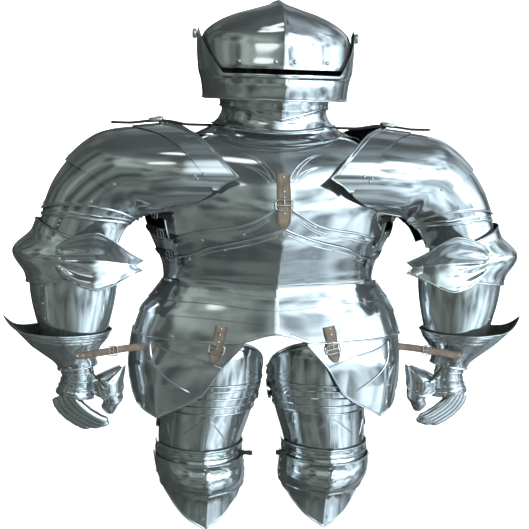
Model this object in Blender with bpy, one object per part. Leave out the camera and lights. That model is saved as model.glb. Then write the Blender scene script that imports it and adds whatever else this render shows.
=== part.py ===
"""A knight's field armour from helmet to knees, in metres, +Z up, facing -Y.

Every plate is a curved steel wall laid on a form, which is a stack of cross-sections of the body,
an arm or a leg. A place on a form is given by its turn round the section in degrees, 0 at the
front and 90 on the outer side, and by how far it lies along the form.
The origin is between the shoulders, where the armour hangs on its wearer.
"""

import math
from collections import namedtuple

import bmesh
import bpy
import numpy as np
from mathutils import Matrix, Vector
from mathutils.bvhtree import BVHTree

# Driving dimensions
STEEL = 0.0015
LEATHER = 0.0030
SEAM = 0.0017
LAYER = STEEL + SEAM
SEAT = 0.0003
RIVET = 0.0030
RIVET_HEAD = 0.0010
RIVET_SIDES = 5
SHARP_ANGLE = 30

# Helmet
PIVOT_Z = 0.213
PIVOT_HOLE = 0.0034
PIVOT_PIN = 0.0030
PIVOT_HEAD = 0.0085
PIVOT_FOOT = 0.0060
PIVOT_PLAY = 0.0004
SIGHT_TOP = 0.137
SIGHT_BOTTOM = 0.125
HELMET_RIM = 0.066

# Legs
LAME_RISE = 0.0022

Section = namedtuple("Section", "at x y z tilt half front back peak square taper")


def level(z, half, front, back, y=0.0, peak=2.0, square=2.0, x=0.0):
    """A level cross-section of an upright form, whose place along the form is its height."""
    return Section(z, x, y, z, 0.0, half, front, back, peak, square, 0.0)


def slice_of_arm(at, x, y, z, tilt, half, front, back, taper=0.0, square=2.0):
    """A cross-section of the arm, tilted in the front view: 90 degrees stands upright on the shoulder."""
    return Section(at, x, y, z, tilt, half, front, back, 2.0, square, taper)


HELMET = [
    #      height   half   front   back
    level(0.0600, 0.167, 0.150, 0.232, square=2.2),
    level(0.0670, 0.165, 0.150, 0.218, square=2.2),
    level(0.0800, 0.163, 0.150, 0.200, square=2.2),
    level(0.1000, 0.164, 0.150, 0.184, square=2.2),
    level(SIGHT_TOP, 0.173, 0.150, 0.172, peak=1.9, square=2.2),
    level(0.1600, 0.177, 0.146, 0.168, peak=1.8, square=2.1),
    level(0.1900, 0.178, 0.140, 0.162, peak=1.7),
    level(PIVOT_Z, 0.172, 0.132, 0.154, peak=1.65),
    level(0.2280, 0.160, 0.124, 0.146, peak=1.6),
    level(0.2460, 0.134, 0.110, 0.132, peak=1.6),
    level(0.2620, 0.098, 0.092, 0.114, peak=1.6),
    level(0.2720, 0.055, 0.076, 0.098, peak=1.6),
    level(0.2810, 0.016, 0.054, 0.076, peak=1.6),
    level(0.2890, 0.000, 0.026, 0.046, peak=1.6),
]

VISOR = [
    #      height   half   front   back
    level(0.0600, 0.169, 0.158, 0.150, peak=1.8, square=2.4),
    level(0.0780, 0.170, 0.162, 0.150, peak=1.8, square=2.4),
    level(0.1000, 0.173, 0.164, 0.150, peak=1.8, square=2.3),
    level(0.1200, 0.178, 0.162, 0.150, peak=1.8, square=2.2),
    level(SIGHT_BOTTOM, 0.180, 0.165, 0.150, peak=1.8, square=2.2),
    level(0.1600, 0.184, 0.154, 0.150, peak=1.9, square=2.1),
    level(0.1900, 0.186, 0.146, 0.150),
    level(PIVOT_Z, 0.1855, 0.138, 0.140),
    level(0.2350, 0.1835, 0.130, 0.130),
]

NECK = [
    #      height   half   front   back
    level(-0.0520, 0.236, 0.156, 0.150),
    level(-0.0300, 0.206, 0.140, 0.134),
    level(-0.0120, 0.176, 0.129, 0.124),
    level(0.0040, 0.146, 0.122, 0.114),
    level(0.0200, 0.129, 0.118, 0.104),
    level(0.0420, 0.121, 0.120, 0.098, peak=1.9),
    level(0.0650, 0.123, 0.128, 0.098, peak=1.8),
    level(0.1150, 0.129, 0.134, 0.100, peak=1.8),
]

TRUNK = [
    #      height   half   front   back
    level(-0.7000, 0.324, 0.158, 0.170, y=0.006),
    level(-0.6400, 0.334, 0.166, 0.182, y=0.006),
    level(-0.5600, 0.340, 0.170, 0.190, y=0.006),
    level(-0.4910, 0.333, 0.164, 0.185, y=0.006, peak=1.8),
    level(-0.4300, 0.314, 0.148, 0.160, y=0.006, peak=1.7),
    level(-0.3850, 0.277, 0.132, 0.136, y=0.004, peak=1.6),
    level(-0.3550, 0.260, 0.126, 0.126, y=0.002, peak=1.6),
    level(-0.3300, 0.263, 0.138, 0.130, peak=1.6),
    level(-0.2830, 0.282, 0.166, 0.145, peak=1.6),
    level(-0.2330, 0.302, 0.186, 0.156, peak=1.7),
    level(-0.1800, 0.307, 0.190, 0.160, peak=1.9),
    level(-0.1300, 0.302, 0.180, 0.158),
    level(-0.0800, 0.286, 0.156, 0.146),
    level(-0.0400, 0.262, 0.124, 0.122),
    level(-0.0150, 0.238, 0.088, 0.090),
    level(0.0000, 0.212, 0.052, 0.060),
]

LEG = [
    #      height   half   front   back
    level(-0.9750, 0.086, 0.090, 0.080, x=0.1470, y=0.030, peak=1.7),
    level(-0.9300, 0.088, 0.102, 0.085, x=0.1475, y=0.030, peak=1.7),
    level(-0.8900, 0.092, 0.114, 0.090, x=0.1475, y=0.030, peak=1.7),
    level(-0.8600, 0.098, 0.128, 0.095, x=0.1490, y=0.030, peak=1.7),
    level(-0.8300, 0.102, 0.134, 0.098, x=0.1540, y=0.030, peak=1.7),
    level(-0.8000, 0.103, 0.124, 0.098, x=0.1570, y=0.030, peak=1.7),
    level(-0.7760, 0.105, 0.116, 0.100, x=0.1560, y=0.030, peak=1.7),
    level(-0.7050, 0.115, 0.124, 0.105, x=0.1450, y=0.030, peak=1.8),
    level(-0.6700, 0.119, 0.129, 0.108, x=0.1390, y=0.028, peak=1.9),
    level(-0.6100, 0.122, 0.134, 0.112, x=0.1330, y=0.025),
    level(-0.5400, 0.118, 0.128, 0.108, x=0.1290, y=0.020),
    level(-0.4800, 0.104, 0.104, 0.096, x=0.1260, y=0.018),
]

ARM = [
    #              at     x      y      z     tilt   half  front   back
    slice_of_arm(0.000, 0.100, 0.000, -0.100, 90.0, 0.099, 0.186, 0.160, square=2.6),
    slice_of_arm(0.120, 0.215, 0.000, -0.100, 88.0, 0.099, 0.184, 0.158, square=2.6),
    slice_of_arm(0.200, 0.296, 0.000, -0.108, 80.0, 0.101, 0.172, 0.148, square=2.5),
    slice_of_arm(0.270, 0.350, -0.004, -0.120, 62.0, 0.110, 0.148, 0.130, square=2.2),
    slice_of_arm(0.330, 0.385, -0.010, -0.150, 45.0, 0.115, 0.125, 0.110),
    slice_of_arm(0.390, 0.410, -0.018, -0.181, 28.0, 0.114, 0.106, 0.096),
    slice_of_arm(0.440, 0.430, -0.025, -0.216, 18.0, 0.109, 0.092, 0.086),
    slice_of_arm(0.500, 0.448, -0.032, -0.262, 12.0, 0.108, 0.085, 0.082),
    slice_of_arm(0.560, 0.463, -0.036, -0.315, 5.0, 0.104, 0.083, 0.081),
    slice_of_arm(0.620, 0.464, -0.037, -0.375, 0.0, 0.101, 0.081, 0.079),
    slice_of_arm(0.720, 0.461, -0.036, -0.477, -4.0, 0.080, 0.067, 0.065),
    slice_of_arm(0.800, 0.453, -0.028, -0.557, -10.0, 0.046, 0.042, 0.042),
]

COUTER = [
    #              at     x      y      z     tilt   half  front   back
    slice_of_arm(0.470, 0.440, -0.030, -0.236, 15.0, 0.1110, 0.089, 0.086),
    slice_of_arm(0.500, 0.449, -0.032, -0.262, 11.0, 0.1130, 0.091, 0.088),
    slice_of_arm(0.545, 0.461, -0.034, -0.301, 4.0, 0.1440, 0.100, 0.100),
    slice_of_arm(0.590, 0.466, -0.036, -0.345, 0.0, 0.1110, 0.090, 0.088),
    slice_of_arm(0.615, 0.465, -0.037, -0.370, 0.0, 0.1060, 0.086, 0.084),
]

CUFF = [
    #              at     x      y      z     tilt   half  front   back   taper
    slice_of_arm(0.000, 0.5090, -0.030, -0.4680, 0.0, 0.1380, 0.096, 0.096, 0.55),
    slice_of_arm(0.030, 0.4895, -0.030, -0.4960, 0.0, 0.1085, 0.082, 0.082, 0.40),
    slice_of_arm(0.065, 0.4690, -0.027, -0.5300, -6.0, 0.0690, 0.060, 0.060, 0.20),
    slice_of_arm(0.095, 0.4560, -0.022, -0.5580, -10.0, 0.0480, 0.048, 0.048, 0.05),
    slice_of_arm(0.120, 0.4510, -0.018, -0.5820, -8.0, 0.0450, 0.044, 0.044, 0.00),
]

HAND = [
    #              at     x      y      z     tilt   half  front   back
    slice_of_arm(0.000, 0.4548, -0.0215, -0.5580, -9.0, 0.0402, 0.0400, 0.0400),
    slice_of_arm(0.030, 0.4510, -0.014, -0.5940, -2.0, 0.0380, 0.0380, 0.0360),
    slice_of_arm(0.055, 0.4540, -0.010, -0.6190, 4.0, 0.0400, 0.0400, 0.0380),
    slice_of_arm(0.080, 0.4580, -0.010, -0.6440, 8.0, 0.0420, 0.0420, 0.0380),
]

THUMB = [
    #      height   half   front   back
    level(-0.5680, 0.006, 0.012, 0.012, x=0.3480, y=-0.030),
    level(-0.5850, 0.025, 0.026, 0.020, x=0.3680, y=-0.032),
    level(-0.6050, 0.038, 0.034, 0.026, x=0.3836, y=-0.034),
    level(-0.6300, 0.036, 0.034, 0.026, x=0.3811, y=-0.036),
    level(-0.6500, 0.024, 0.028, 0.022, x=0.3700, y=-0.036),
    level(-0.6680, 0.020, 0.022, 0.018, x=0.3780, y=-0.034),
    level(-0.6840, 0.010, 0.012, 0.010, x=0.3760, y=-0.032),
]


class Form:
    """A smooth body through a stack of cross-sections."""

    def __init__(self, rows, step):
        self.table = np.array(sorted(rows), float)
        self.step = step

    def section(self, at):
        """All columns of the table at a place along the form, joined by curves that never overshoot."""
        place, columns = self.table[:, 0], self.table[:, 1:]
        at = np.clip(np.asarray(at, float), place[0], place[-1])
        gap = np.diff(place)
        slope = np.diff(columns, axis=0) / gap[:, None]
        tangent = np.zeros_like(columns)
        product = slope[:-1] * slope[1:]
        total = slope[:-1] + slope[1:]
        same_way = product > 0
        tangent[1:-1][same_way] = 2 * product[same_way] / total[same_way]
        tangent[0], tangent[-1] = slope[0], slope[-1]
        low = np.clip(np.searchsorted(place, at, side="right") - 1, 0, len(gap) - 1)
        width = gap[low][..., None]
        t = (at[..., None] - place[low][..., None]) / width
        return (
            columns[low] * (1 + 2 * t) * (1 - t) ** 2
            + tangent[low] * width * t * (1 - t) ** 2
            + columns[low + 1] * t**2 * (3 - 2 * t)
            + tangent[low + 1] * width * t**2 * (t - 1)
        )

    def point(self, turn, at):
        """The point of the form at a turn and a place along it, and the centre of its section."""
        x, y, z, tilt, half, front, back, peak, square, taper = np.moveaxis(self.section(at), -1, 0)
        turn = np.radians(turn)
        sine, cosine = np.sin(turn), np.cos(turn)
        side = np.sign(sine) * half * np.abs(sine) ** (2 / peak)
        depth = np.where(cosine > 0, front, back) * (1 - taper * np.clip(sine, 0, 1))
        forward = -np.sign(cosine) * depth * np.abs(cosine) ** (2 / square)
        tilt = np.radians(tilt)
        centre = np.stack([x, y, z], -1)
        offset = np.stack([side * np.cos(tilt), forward, side * np.sin(tilt)], -1)
        return centre + offset, centre

    def outward(self, turn, at):
        """The unit normal of the form, pointing away from its inside."""
        nudge_turn, nudge_at = 0.5, 0.0008
        turn, at = np.broadcast_arrays(np.asarray(turn, float), np.asarray(at, float))
        high = np.minimum(at + nudge_at, self.table[-1, 0])
        low = np.maximum(at - nudge_at, self.table[0, 0])
        round_it = self.point(turn + nudge_turn, at)[0] - self.point(turn - nudge_turn, at)[0]
        along_it = self.point(turn, high)[0] - self.point(turn, low)[0]
        place, centre = self.point(turn, at)
        normal = np.cross(round_it, along_it)
        normal[np.abs(place[..., 0] - centre[..., 0]) < 1e-7, 0] = 0
        normal /= np.maximum(np.linalg.norm(normal, axis=-1, keepdims=True), 1e-12)
        crest = self.section(at)[..., 4:5] < 1e-7
        normal = np.where(crest, (0.0, 0.0, 1.0), normal)
        facing = np.sum(normal * (place - centre), axis=-1, keepdims=True)
        return np.where(facing < 0, -normal, normal)

    def lifted(self, turn, at, lift):
        """Points that lie a distance outside the form."""
        return self.point(turn, at)[0] + self.outward(turn, at) * np.asarray(lift)[..., None]


def material_of(name, colour, roughness, metallic):
    """A plain material with one colour."""
    material = bpy.data.materials.new(name)
    material.use_nodes = True
    shader = material.node_tree.nodes["Principled BSDF"]
    shader.inputs["Base Color"].default_value = (*colour, 1)
    shader.inputs["Roughness"].default_value = roughness
    shader.inputs["Metallic"].default_value = metallic
    material.diffuse_color = (*colour, 1)
    return material


def columns_between(turns, step):
    """The given turns, and the multiples of the step between them, so that the plates of a form line up."""
    low, high = turns[0], turns[-1]
    grid = [k * step for k in range(math.ceil(low / step), math.floor(high / step) + 1)]
    kept = [turn for turn in grid if min(abs(turn - given) for given in turns) > step / 4]
    return np.array(sorted(kept + list(turns)), float)


def along_edge(edge, turns):
    """How far along the form an edge lies at each turn: one number, or a table of turn and place."""
    if np.isscalar(edge):
        return np.full(len(turns), float(edge))
    table = np.array(edge, float)
    return np.interp(turns, table[:, 0], table[:, 1])


def wall_of(name, outer, inner, closed, material, mirrored, crest=False):
    """A closed wall between two grids of points. A crest is a top row that closes on itself."""
    rows, columns = outer.shape[:2]
    mesh = bmesh.new()
    grids = []
    for grid in (outer, inner):
        if mirrored:
            grid = grid * (-1, 1, 1)
        grids.append([[mesh.verts.new(p) for p in row] for row in grid])
    spans = columns if closed else columns - 1
    faces = []
    for r in range(rows - 1):
        for c in range(spans):
            d = (c + 1) % columns
            for g in grids:
                faces.append((g[r][c], g[r][d], g[r + 1][d], g[r + 1][c]))
    front, back = grids
    for c in range(spans):
        d = (c + 1) % columns
        for r in (rows - 1,) if crest else (0, rows - 1):
            faces.append((front[r][c], front[r][d], back[r][d], back[r][c]))
    if not closed:
        for r in range(rows - 1):
            for c in (0, columns - 1):
                faces.append((front[r][c], front[r + 1][c], back[r + 1][c], back[r][c]))
    for face in faces:
        mesh.faces.new(face)
    bmesh.ops.remove_doubles(mesh, verts=mesh.verts, dist=1e-6)
    bmesh.ops.dissolve_degenerate(mesh, edges=mesh.edges, dist=1e-7)
    bmesh.ops.recalc_face_normals(mesh, faces=mesh.faces)
    return object_of(name, mesh, material)


def object_of(name, mesh, material):
    """A named object in the scene from a mesh that is being built, with a material of its own."""
    data = bpy.data.meshes.new(name)
    mesh.to_mesh(data)
    mesh.free()
    own = material.copy()
    own.name = f"{name}_{material.name}"
    data.materials.append(own)
    data.shade_smooth()
    data.set_sharp_from_angle(angle=math.radians(SHARP_ANGLE))
    thing = bpy.data.objects.new(name, data)
    bpy.context.scene.collection.objects.link(thing)
    return thing


def lame_profile(lames, rows):
    """Stops down a plate and the rise at each. A plate of several lames steps in below each one."""
    if len(lames) == 2:
        stops = np.linspace(0, 1, rows + 1) if np.isscalar(rows) else np.array(rows)
        return stops, np.zeros(len(stops))
    step = 0.10
    stops, rise = [0.0], [0.0]
    for start, end in zip(lames, lames[1:]):
        if start:
            stops.append(start + step * (end - start))
            rise.append(0.0)
        stops.append(end)
        rise.append(LAME_RISE)
    return np.array(stops), np.array(rise)


def plate(
    name, form, turns, top, bottom, material, rows=3, lift=0.0, wall=STEEL, lames=(0, 1), ring=False,
    mirrored=False, relief=None, crest=False,
):
    """A curved wall on a form between a top and a bottom edge, its outer face at the lift."""
    turns = columns_between(turns, form.step)
    if ring:
        turns = turns[:-1]
    stops, rise = lame_profile(lames, rows)
    top, bottom = along_edge(top, turns), along_edge(bottom, turns)
    at = top + (bottom - top) * stops[:, None]
    turn = np.broadcast_to(turns, at.shape)
    high = lift + np.broadcast_to(rise[:, None], at.shape)
    if relief is not None:
        high = high + relief(turn, at)
    outer = form.lifted(turn, at, high)
    inner = form.lifted(turn, at, high - wall)
    return wall_of(name, outer, inner, ring, material, mirrored, crest)


def ribbon(name, centre, across, width, thickness, material, mirrored=False):
    """A flat strap that runs along a line of points, with its width along the other line's directions."""
    centre, across = np.array(centre, float), np.array(across, float)
    across /= np.linalg.norm(across, axis=1, keepdims=True)
    along = np.gradient(centre, axis=0)
    normal = np.cross(along, across)
    normal /= np.linalg.norm(normal, axis=1, keepdims=True)
    edges = [centre - across * width / 2, centre + across * width / 2]
    outer = np.stack([edge + normal * thickness / 2 for edge in edges])
    inner = np.stack([edge - normal * thickness / 2 for edge in edges])
    return wall_of(name, outer, inner, False, material, mirrored)


def sides(name):
    """The same piece for the wearer's left side, at +X, and for the right."""
    return ((f"{name}_left", False), (f"{name}_right", True))


def drilled(thing, cutter):
    """Cuts a hole through a plate with a hidden cutter."""
    modifier = thing.modifiers.new("pivot hole", "BOOLEAN")
    modifier.operation = "DIFFERENCE"
    modifier.object = cutter


def tree_of(thing, mirror):
    """The faces of a plate, to find how far off its surface lies."""
    corners = [vertex.co * mirror for vertex in thing.data.vertices]
    return BVHTree.FromPolygons(corners, [polygon.vertices for polygon in thing.data.polygons])


def riveted(outer, inner, form, places, mirrored=False):
    """Rivets an outer plate to the one under it: each shank ends just above the inner plate's face."""
    mirror = Vector((-1, 1, 1)) if mirrored else Vector((1, 1, 1))
    outer_tree, inner_tree = tree_of(outer, mirror), tree_of(inner, mirror)
    mesh = bmesh.new()
    reach = 0.030
    for turn, at in places:
        normal = Vector(form.outward(turn, at))
        start = Vector(form.point(turn, at)[0]) + normal * reach
        side = normal.orthogonal().normalized()
        corners = [
            start + Matrix.Rotation(2 * math.pi * k / RIVET_SIDES, 3, normal) @ side * RIVET for k in range(RIVET_SIDES)
        ]
        head = min(outer_tree.ray_cast(corner, -normal)[3] for corner in corners) - RIVET_HEAD
        foot = min(inner_tree.ray_cast(corner, -normal)[3] for corner in corners) - SEAT
        rings = [[mesh.verts.new((corner - normal * far) * mirror) for corner in corners] for far in (head, foot)]
        for ring in rings:
            mesh.faces.new(ring)
        for k in range(RIVET_SIDES):
            m = (k + 1) % RIVET_SIDES
            mesh.faces.new((rings[0][k], rings[0][m], rings[1][m], rings[1][k]))
    bmesh.ops.recalc_face_normals(mesh, faces=mesh.faces)
    rivets = object_of(f"{outer.name}_to_{inner.name}", mesh, outer.data.materials[0])
    rivets.hide_render = True
    rivets.display_type = "WIRE"
    modifier = outer.modifiers.new("rivets", "BOOLEAN")
    modifier.operation = "UNION"
    modifier.object = rivets


def lathed(name, profile, origin, material, hidden=False, sides_round=12):
    """A turned piece about the X axis from a table of distance along the axis and radius."""
    mesh = bmesh.new()
    rings = []
    for x, radius in profile:
        if radius == 0:
            rings.append([mesh.verts.new((origin[0] + x, origin[1], origin[2]))])
            continue
        angles = [2 * math.pi * k / sides_round for k in range(sides_round)]
        rings.append([
            mesh.verts.new((origin[0] + x, origin[1] + radius * math.cos(a), origin[2] + radius * math.sin(a)))
            for a in angles
        ])
    for first, second in zip(rings, rings[1:]):
        for k in range(sides_round):
            corners = [first[k % len(first)], first[(k + 1) % len(first)]]
            corners += [second[(k + 1) % len(second)], second[k % len(second)]]
            mesh.faces.new(list(dict.fromkeys(corners)))
    bmesh.ops.recalc_face_normals(mesh, faces=mesh.faces)
    piece = object_of(name, mesh, material)
    if hidden:
        piece.hide_render = True
        piece.display_type = "WIRE"
    return piece


def helmet(steel):
    """The sallet: a keeled skull with a tail, and the visor that swings on two pivots at the temples."""
    form, visor_form = Form(HELMET, 15.0), Form(VISOR, 15.0)
    face = [(-180, 0.0600), (-110, 0.0640), (-66, HELMET_RIM), (-56, SIGHT_TOP)]
    face += [(56, SIGHT_TOP), (66, HELMET_RIM), (110, 0.0640), (180, 0.0600)]
    skull = plate(
        "skull", form, [-180, -66, -56, 56, 66, 180], 0.2890, face, steel, rows=7, ring=True, crest=True
    )
    cheek = 98
    top = [(-cheek, 0.218), (-90, 0.229), (-82, 0.224), (-72, 0.200), (-50, SIGHT_BOTTOM), (50, SIGHT_BOTTOM)]
    top += [(72, 0.200), (82, 0.224), (90, 0.229), (cheek, 0.218)]
    visor = plate("visor", visor_form, [turn for turn, _ in top], top, HELMET_RIM, steel, rows=4)
    for name, mirrored in sides("pivot"):
        way = -1 if mirrored else 1
        inner_face, outer_face = 0.1635, 0.1864
        start, end = way * 0.15, way * 0.21
        cutter_profile = [(start, 0), (start, PIVOT_HOLE), (end, PIVOT_HOLE), (end, 0)]
        cutter = lathed(f"{name}_cutter", cutter_profile, (0, 0, PIVOT_Z), steel, hidden=True)
        drilled(skull, cutter)
        drilled(visor, cutter)
        foot, neck_start, head = inner_face - 0.0030, inner_face - PIVOT_PLAY, outer_face + PIVOT_PLAY
        profile = [
            # distance along the pin, radius
            (foot, 0), (foot, PIVOT_FOOT), (neck_start, PIVOT_FOOT), (neck_start, PIVOT_PIN), (head, PIVOT_PIN),
            (head, PIVOT_HEAD), (outer_face + 0.0050, 0.0070), (outer_face + 0.0075, 0.0035),
            (outer_face + 0.0080, 0),
        ]
        lathed(name, [(way * x, radius) for x, radius in profile], (0, 0, PIVOT_Z), steel)


def neck(steel):
    """The bevor over the chin, the collar lame and the bib that spreads on the chest."""
    form = Form(NECK, 15.0)
    chin = [(-105, 0.050), (-60, 0.044), (0, 0.018), (60, 0.044), (105, 0.050)]
    plate("bevor", form, [-105, 105], 0.115, chin, steel, rows=5, lift=2 * LAYER)
    collar_low = [(-180, 0.004), (-60, 0.004), (0, -0.008), (60, 0.004), (180, 0.004)]
    plate("collar", form, [-180, 180], 0.060, collar_low, steel, rows=3, lift=LAYER, ring=True)
    side = [(0, -0.034), (30, -0.026), (60, -0.014), (75, -0.020), (105, -0.020), (120, -0.014), (150, -0.026)]
    bib_low = [(-turn, z) for turn, z in reversed(side)] + side[1:]
    bib_low = [(-180, -0.034)] + bib_low + [(180, -0.034)]
    plate("gorget", form, [-180, 180], 0.026, bib_low, steel, rows=3, ring=True)


def cuirass(steel):
    """The breastplate with two plackarts over its lower half, and the backplate."""
    form = Form(TRUNK, 10.0)
    neckline = [(-60, -0.160), (-50, -0.037), (-40, -0.017), (0, -0.010)]
    neckline += [(-turn, z) for turn, z in reversed(neckline[:-1])]
    breastplate = plate("breastplate", form, [-60, 60], neckline, -0.300, steel, rows=7)
    upper = [(-60, -0.259), (-40, -0.234), (-20, -0.196), (0, -0.163), (20, -0.196), (40, -0.234), (60, -0.259)]
    plate("plackart_upper", form, [-60, 60], upper, -0.318, steel, lift=LAYER, rows=5)
    lower = [(-60, -0.309), (-40, -0.285), (-20, -0.246), (0, -0.211), (20, -0.246), (40, -0.285), (60, -0.309)]
    hem = [(-60, -0.368), (-40, -0.372), (0, -0.386), (40, -0.372), (60, -0.368)]
    high = 2 * LAYER + SEAT
    plackart = plate("plackart_lower", form, [-60, 60], lower, hem, steel, lift=high, rows=6)
    shoulders = [(50, -0.232), (70, -0.234), (90, -0.215), (100, -0.150), (110, -0.050), (120, -0.016), (180, -0.024)]
    shoulders += [(360 - turn, z) for turn, z in reversed(shoulders[:-1])]
    closer_at_waist = (0.0, 0.25, 0.5, 0.70, 0.84, 0.93, 1.0)
    backplate = plate("backplate", form, [50, 310], shoulders, -0.366, steel, rows=closer_at_waist, lift=-2 * LAYER)
    riveted(breastplate, backplate, form, [(-54, -0.245), (54, -0.245)])
    return plackart, backplate


def fauld(steel, plackart, backplate):
    """Three lames round the hips in front, each tucked under the one above, and the culet behind."""
    form = Form(TRUNK, 10.0)
    lames = [
        # name, top, hem at the front, hem at the side, layers above the form, rows, height of its upper rivets
        ("1", -0.358, -0.416, -0.404, 1, 3, -0.365),
        ("2", -0.392, -0.446, -0.436, 0, 2, -0.398),
        ("3", -0.422, -0.487, -0.492, -1, 2, -0.429),
    ]
    above = plackart
    for name, top, front_hem, side_hem, layer, rows, rivet in lames:
        hem = [(-80, side_hem), (-40, side_hem), (0, front_hem), (40, side_hem), (80, side_hem)]
        if name == "3":
            hem = [(-80, side_hem), (-20, side_hem), (-10, front_hem), (0, -0.470), (10, front_hem), (20, side_hem)]
            hem += [(80, side_hem)]
        lame = plate(f"fauld_{name}", form, [-80, 80], top, hem, steel, rows=rows, lift=layer * LAYER)
        riveted(above, lame, form, [(-40, rivet), (40, rivet)])
        above = lame
    culet = plate("culet", form, [70, 290], -0.358, -0.492, steel, lames=(0, 0.35, 0.6, 1), lift=-4 * LAYER)
    riveted(backplate, culet, form, [(120, -0.362), (240, -0.362)])
    return lame


def tassets(steel, leather, lowest_lame):
    """The pointed plates that hang in front of the thighs, each on a strap from the fauld."""
    form = Form(TRUNK, 10.0)
    hem = [(15, -0.494), (22, -0.553), (31, -0.622), (54, -0.681), (75, -0.655), (90, -0.575)]
    ridge_turn, ridge_rise, ridge_width = 54.0, 0.012, 22.0
    ridge_top, ridge_length = -0.50, 0.10

    def fold(turn, at):
        """A ridge down the tasset that grows from nothing at its top."""
        depth = np.clip((ridge_top - at) / ridge_length, 0, 1)
        return ridge_rise * depth * np.clip(1 - np.abs(turn - ridge_turn) / ridge_width, 0, 1)

    for name, mirrored in sides("tasset"):
        tasset = plate(
            name, form, [turn for turn, _ in hem], -0.474, hem, steel, rows=5, lift=-2 * LAYER - SEAM,
            mirrored=mirrored, relief=fold,
        )
        riveted(lowest_lame, tasset, form, [(36, -0.483)], mirrored)
    for name, mirrored in sides("tasset_strap"):
        plate(
            name, form, [24, 28.5], -0.452, -0.532, leather, rows=4, lift=LEATHER + 2 * SEAT - LAYER, wall=LEATHER,
            mirrored=mirrored,
        )


def shoulders(steel, leather):
    """The pauldrons in three plates that overlap, and the strap over each shoulder."""
    form = Form(ARM, 18.0)
    neck_edge = [(-18, 0.056), (0, 0.004), (54, 0.095), (90, 0.150), (126, 0.095), (180, 0.020), (198, 0.056)]
    seam = [(-18, 0.060), (0, 0.085), (54, 0.165), (90, 0.215), (126, 0.165), (180, 0.095), (198, 0.060)]
    cap_top = [(-54, 0.150), (-36, 0.094), (-18, 0.060), (0, 0.062), (54, 0.145), (90, 0.195), (126, 0.145)]
    cap_top += [(180, 0.072), (198, 0.062), (216, 0.094), (234, 0.150)]
    cap_hem = [(-54, 0.300), (0, 0.318), (90, 0.350), (180, 0.318), (234, 0.300)]
    lame_hem = [(-54, 0.330), (-36, 0.355), (0, 0.396), (45, 0.430), (90, 0.455), (135, 0.430), (180, 0.396)]
    lame_hem += [(216, 0.355), (234, 0.330)]
    lame_top = [(-54, 0.282), (0, 0.298), (90, 0.330), (180, 0.298), (234, 0.282)]
    cap_lift = LAYER + SEAM
    front_lift = cap_lift + LAYER
    lames = []
    for side, mirrored in (("left", False), ("right", True)):
        front = plate(
            f"pauldron_front_{side}", form, [-18, 198], neck_edge, seam, steel, rows=3, lift=front_lift,
            mirrored=mirrored,
        )
        cap = plate(
            f"pauldron_cap_{side}", form, [-54, 234], cap_top, cap_hem, steel, rows=4, lift=cap_lift,
            mirrored=mirrored,
        )
        lame = plate(
            f"pauldron_lame_{side}", form, [-54, 234], lame_top, lame_hem, steel, rows=4, mirrored=mirrored
        )
        riveted(front, cap, form, [(90, 0.204)], mirrored)
        riveted(cap, lame, form, [(90, 0.340)], mirrored)
        lames.append(lame)

    free_from, free_slope = 0.19, 0.22

    def lifting_off(turn, at):
        """The free end of the strap rises off the shoulder."""
        return free_slope * np.clip(at - free_from, 0, 1)

    for name, mirrored in sides("shoulder_strap"):
        plate(
            name, form, [84, 96], 0.0487, 0.250, leather, rows=6, lift=front_lift + 2 * SEAT + LEATHER,
            wall=LEATHER, mirrored=mirrored, relief=lifting_off,
        )
    return lames


def wing(name, steel, mirrored):
    """The shell in front of the elbow: two lobes that meet in a valley and end in a forked tip."""
    root_x, reach = 0.504, 0.200
    # share of the reach, half height, height of the valley, forward, how far the lip stands forward
    stations = [
        (0.00, 0.026, -0.296, -0.1313, 0.002),
        (0.12, 0.044, -0.297, -0.1363, 0.008),
        (0.28, 0.060, -0.299, -0.1393, 0.018),
        (0.45, 0.066, -0.300, -0.1413, 0.024),
        (0.62, 0.054, -0.303, -0.1383, 0.022),
        (0.82, 0.030, -0.309, -0.1313, 0.012),
        (1.00, 0.013, -0.314, -0.1213, 0.003),
    ]
    across = np.array([-1, -0.66, -0.33, 0, 0.33, 0.66, 1])
    notch = 0.018
    outer = []
    for share, height, valley, forward, lip in stations:
        ends_in = notch * max(0.0, share - 0.8) / 0.2
        outer.append([
            (
                root_x - reach * share + ends_in * (1 - abs(t)),
                forward - lip * t * t,
                valley + t * height,
            )
            for t in across
        ])
    sheet_of(name, np.array(outer), (0, -1, 0), steel, mirrored)


def sheet_of(name, outer, facing, material, mirrored):
    """A wall behind a grid of points, which faces roughly one way."""
    normal = np.cross(np.gradient(outer, axis=1), np.gradient(outer, axis=0))
    normal /= np.linalg.norm(normal, axis=-1, keepdims=True)
    if np.sum(normal * np.array(facing, float)) < 0:
        normal = -normal
    wall_of(name, outer, outer - normal * STEEL, False, material, mirrored)


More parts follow.
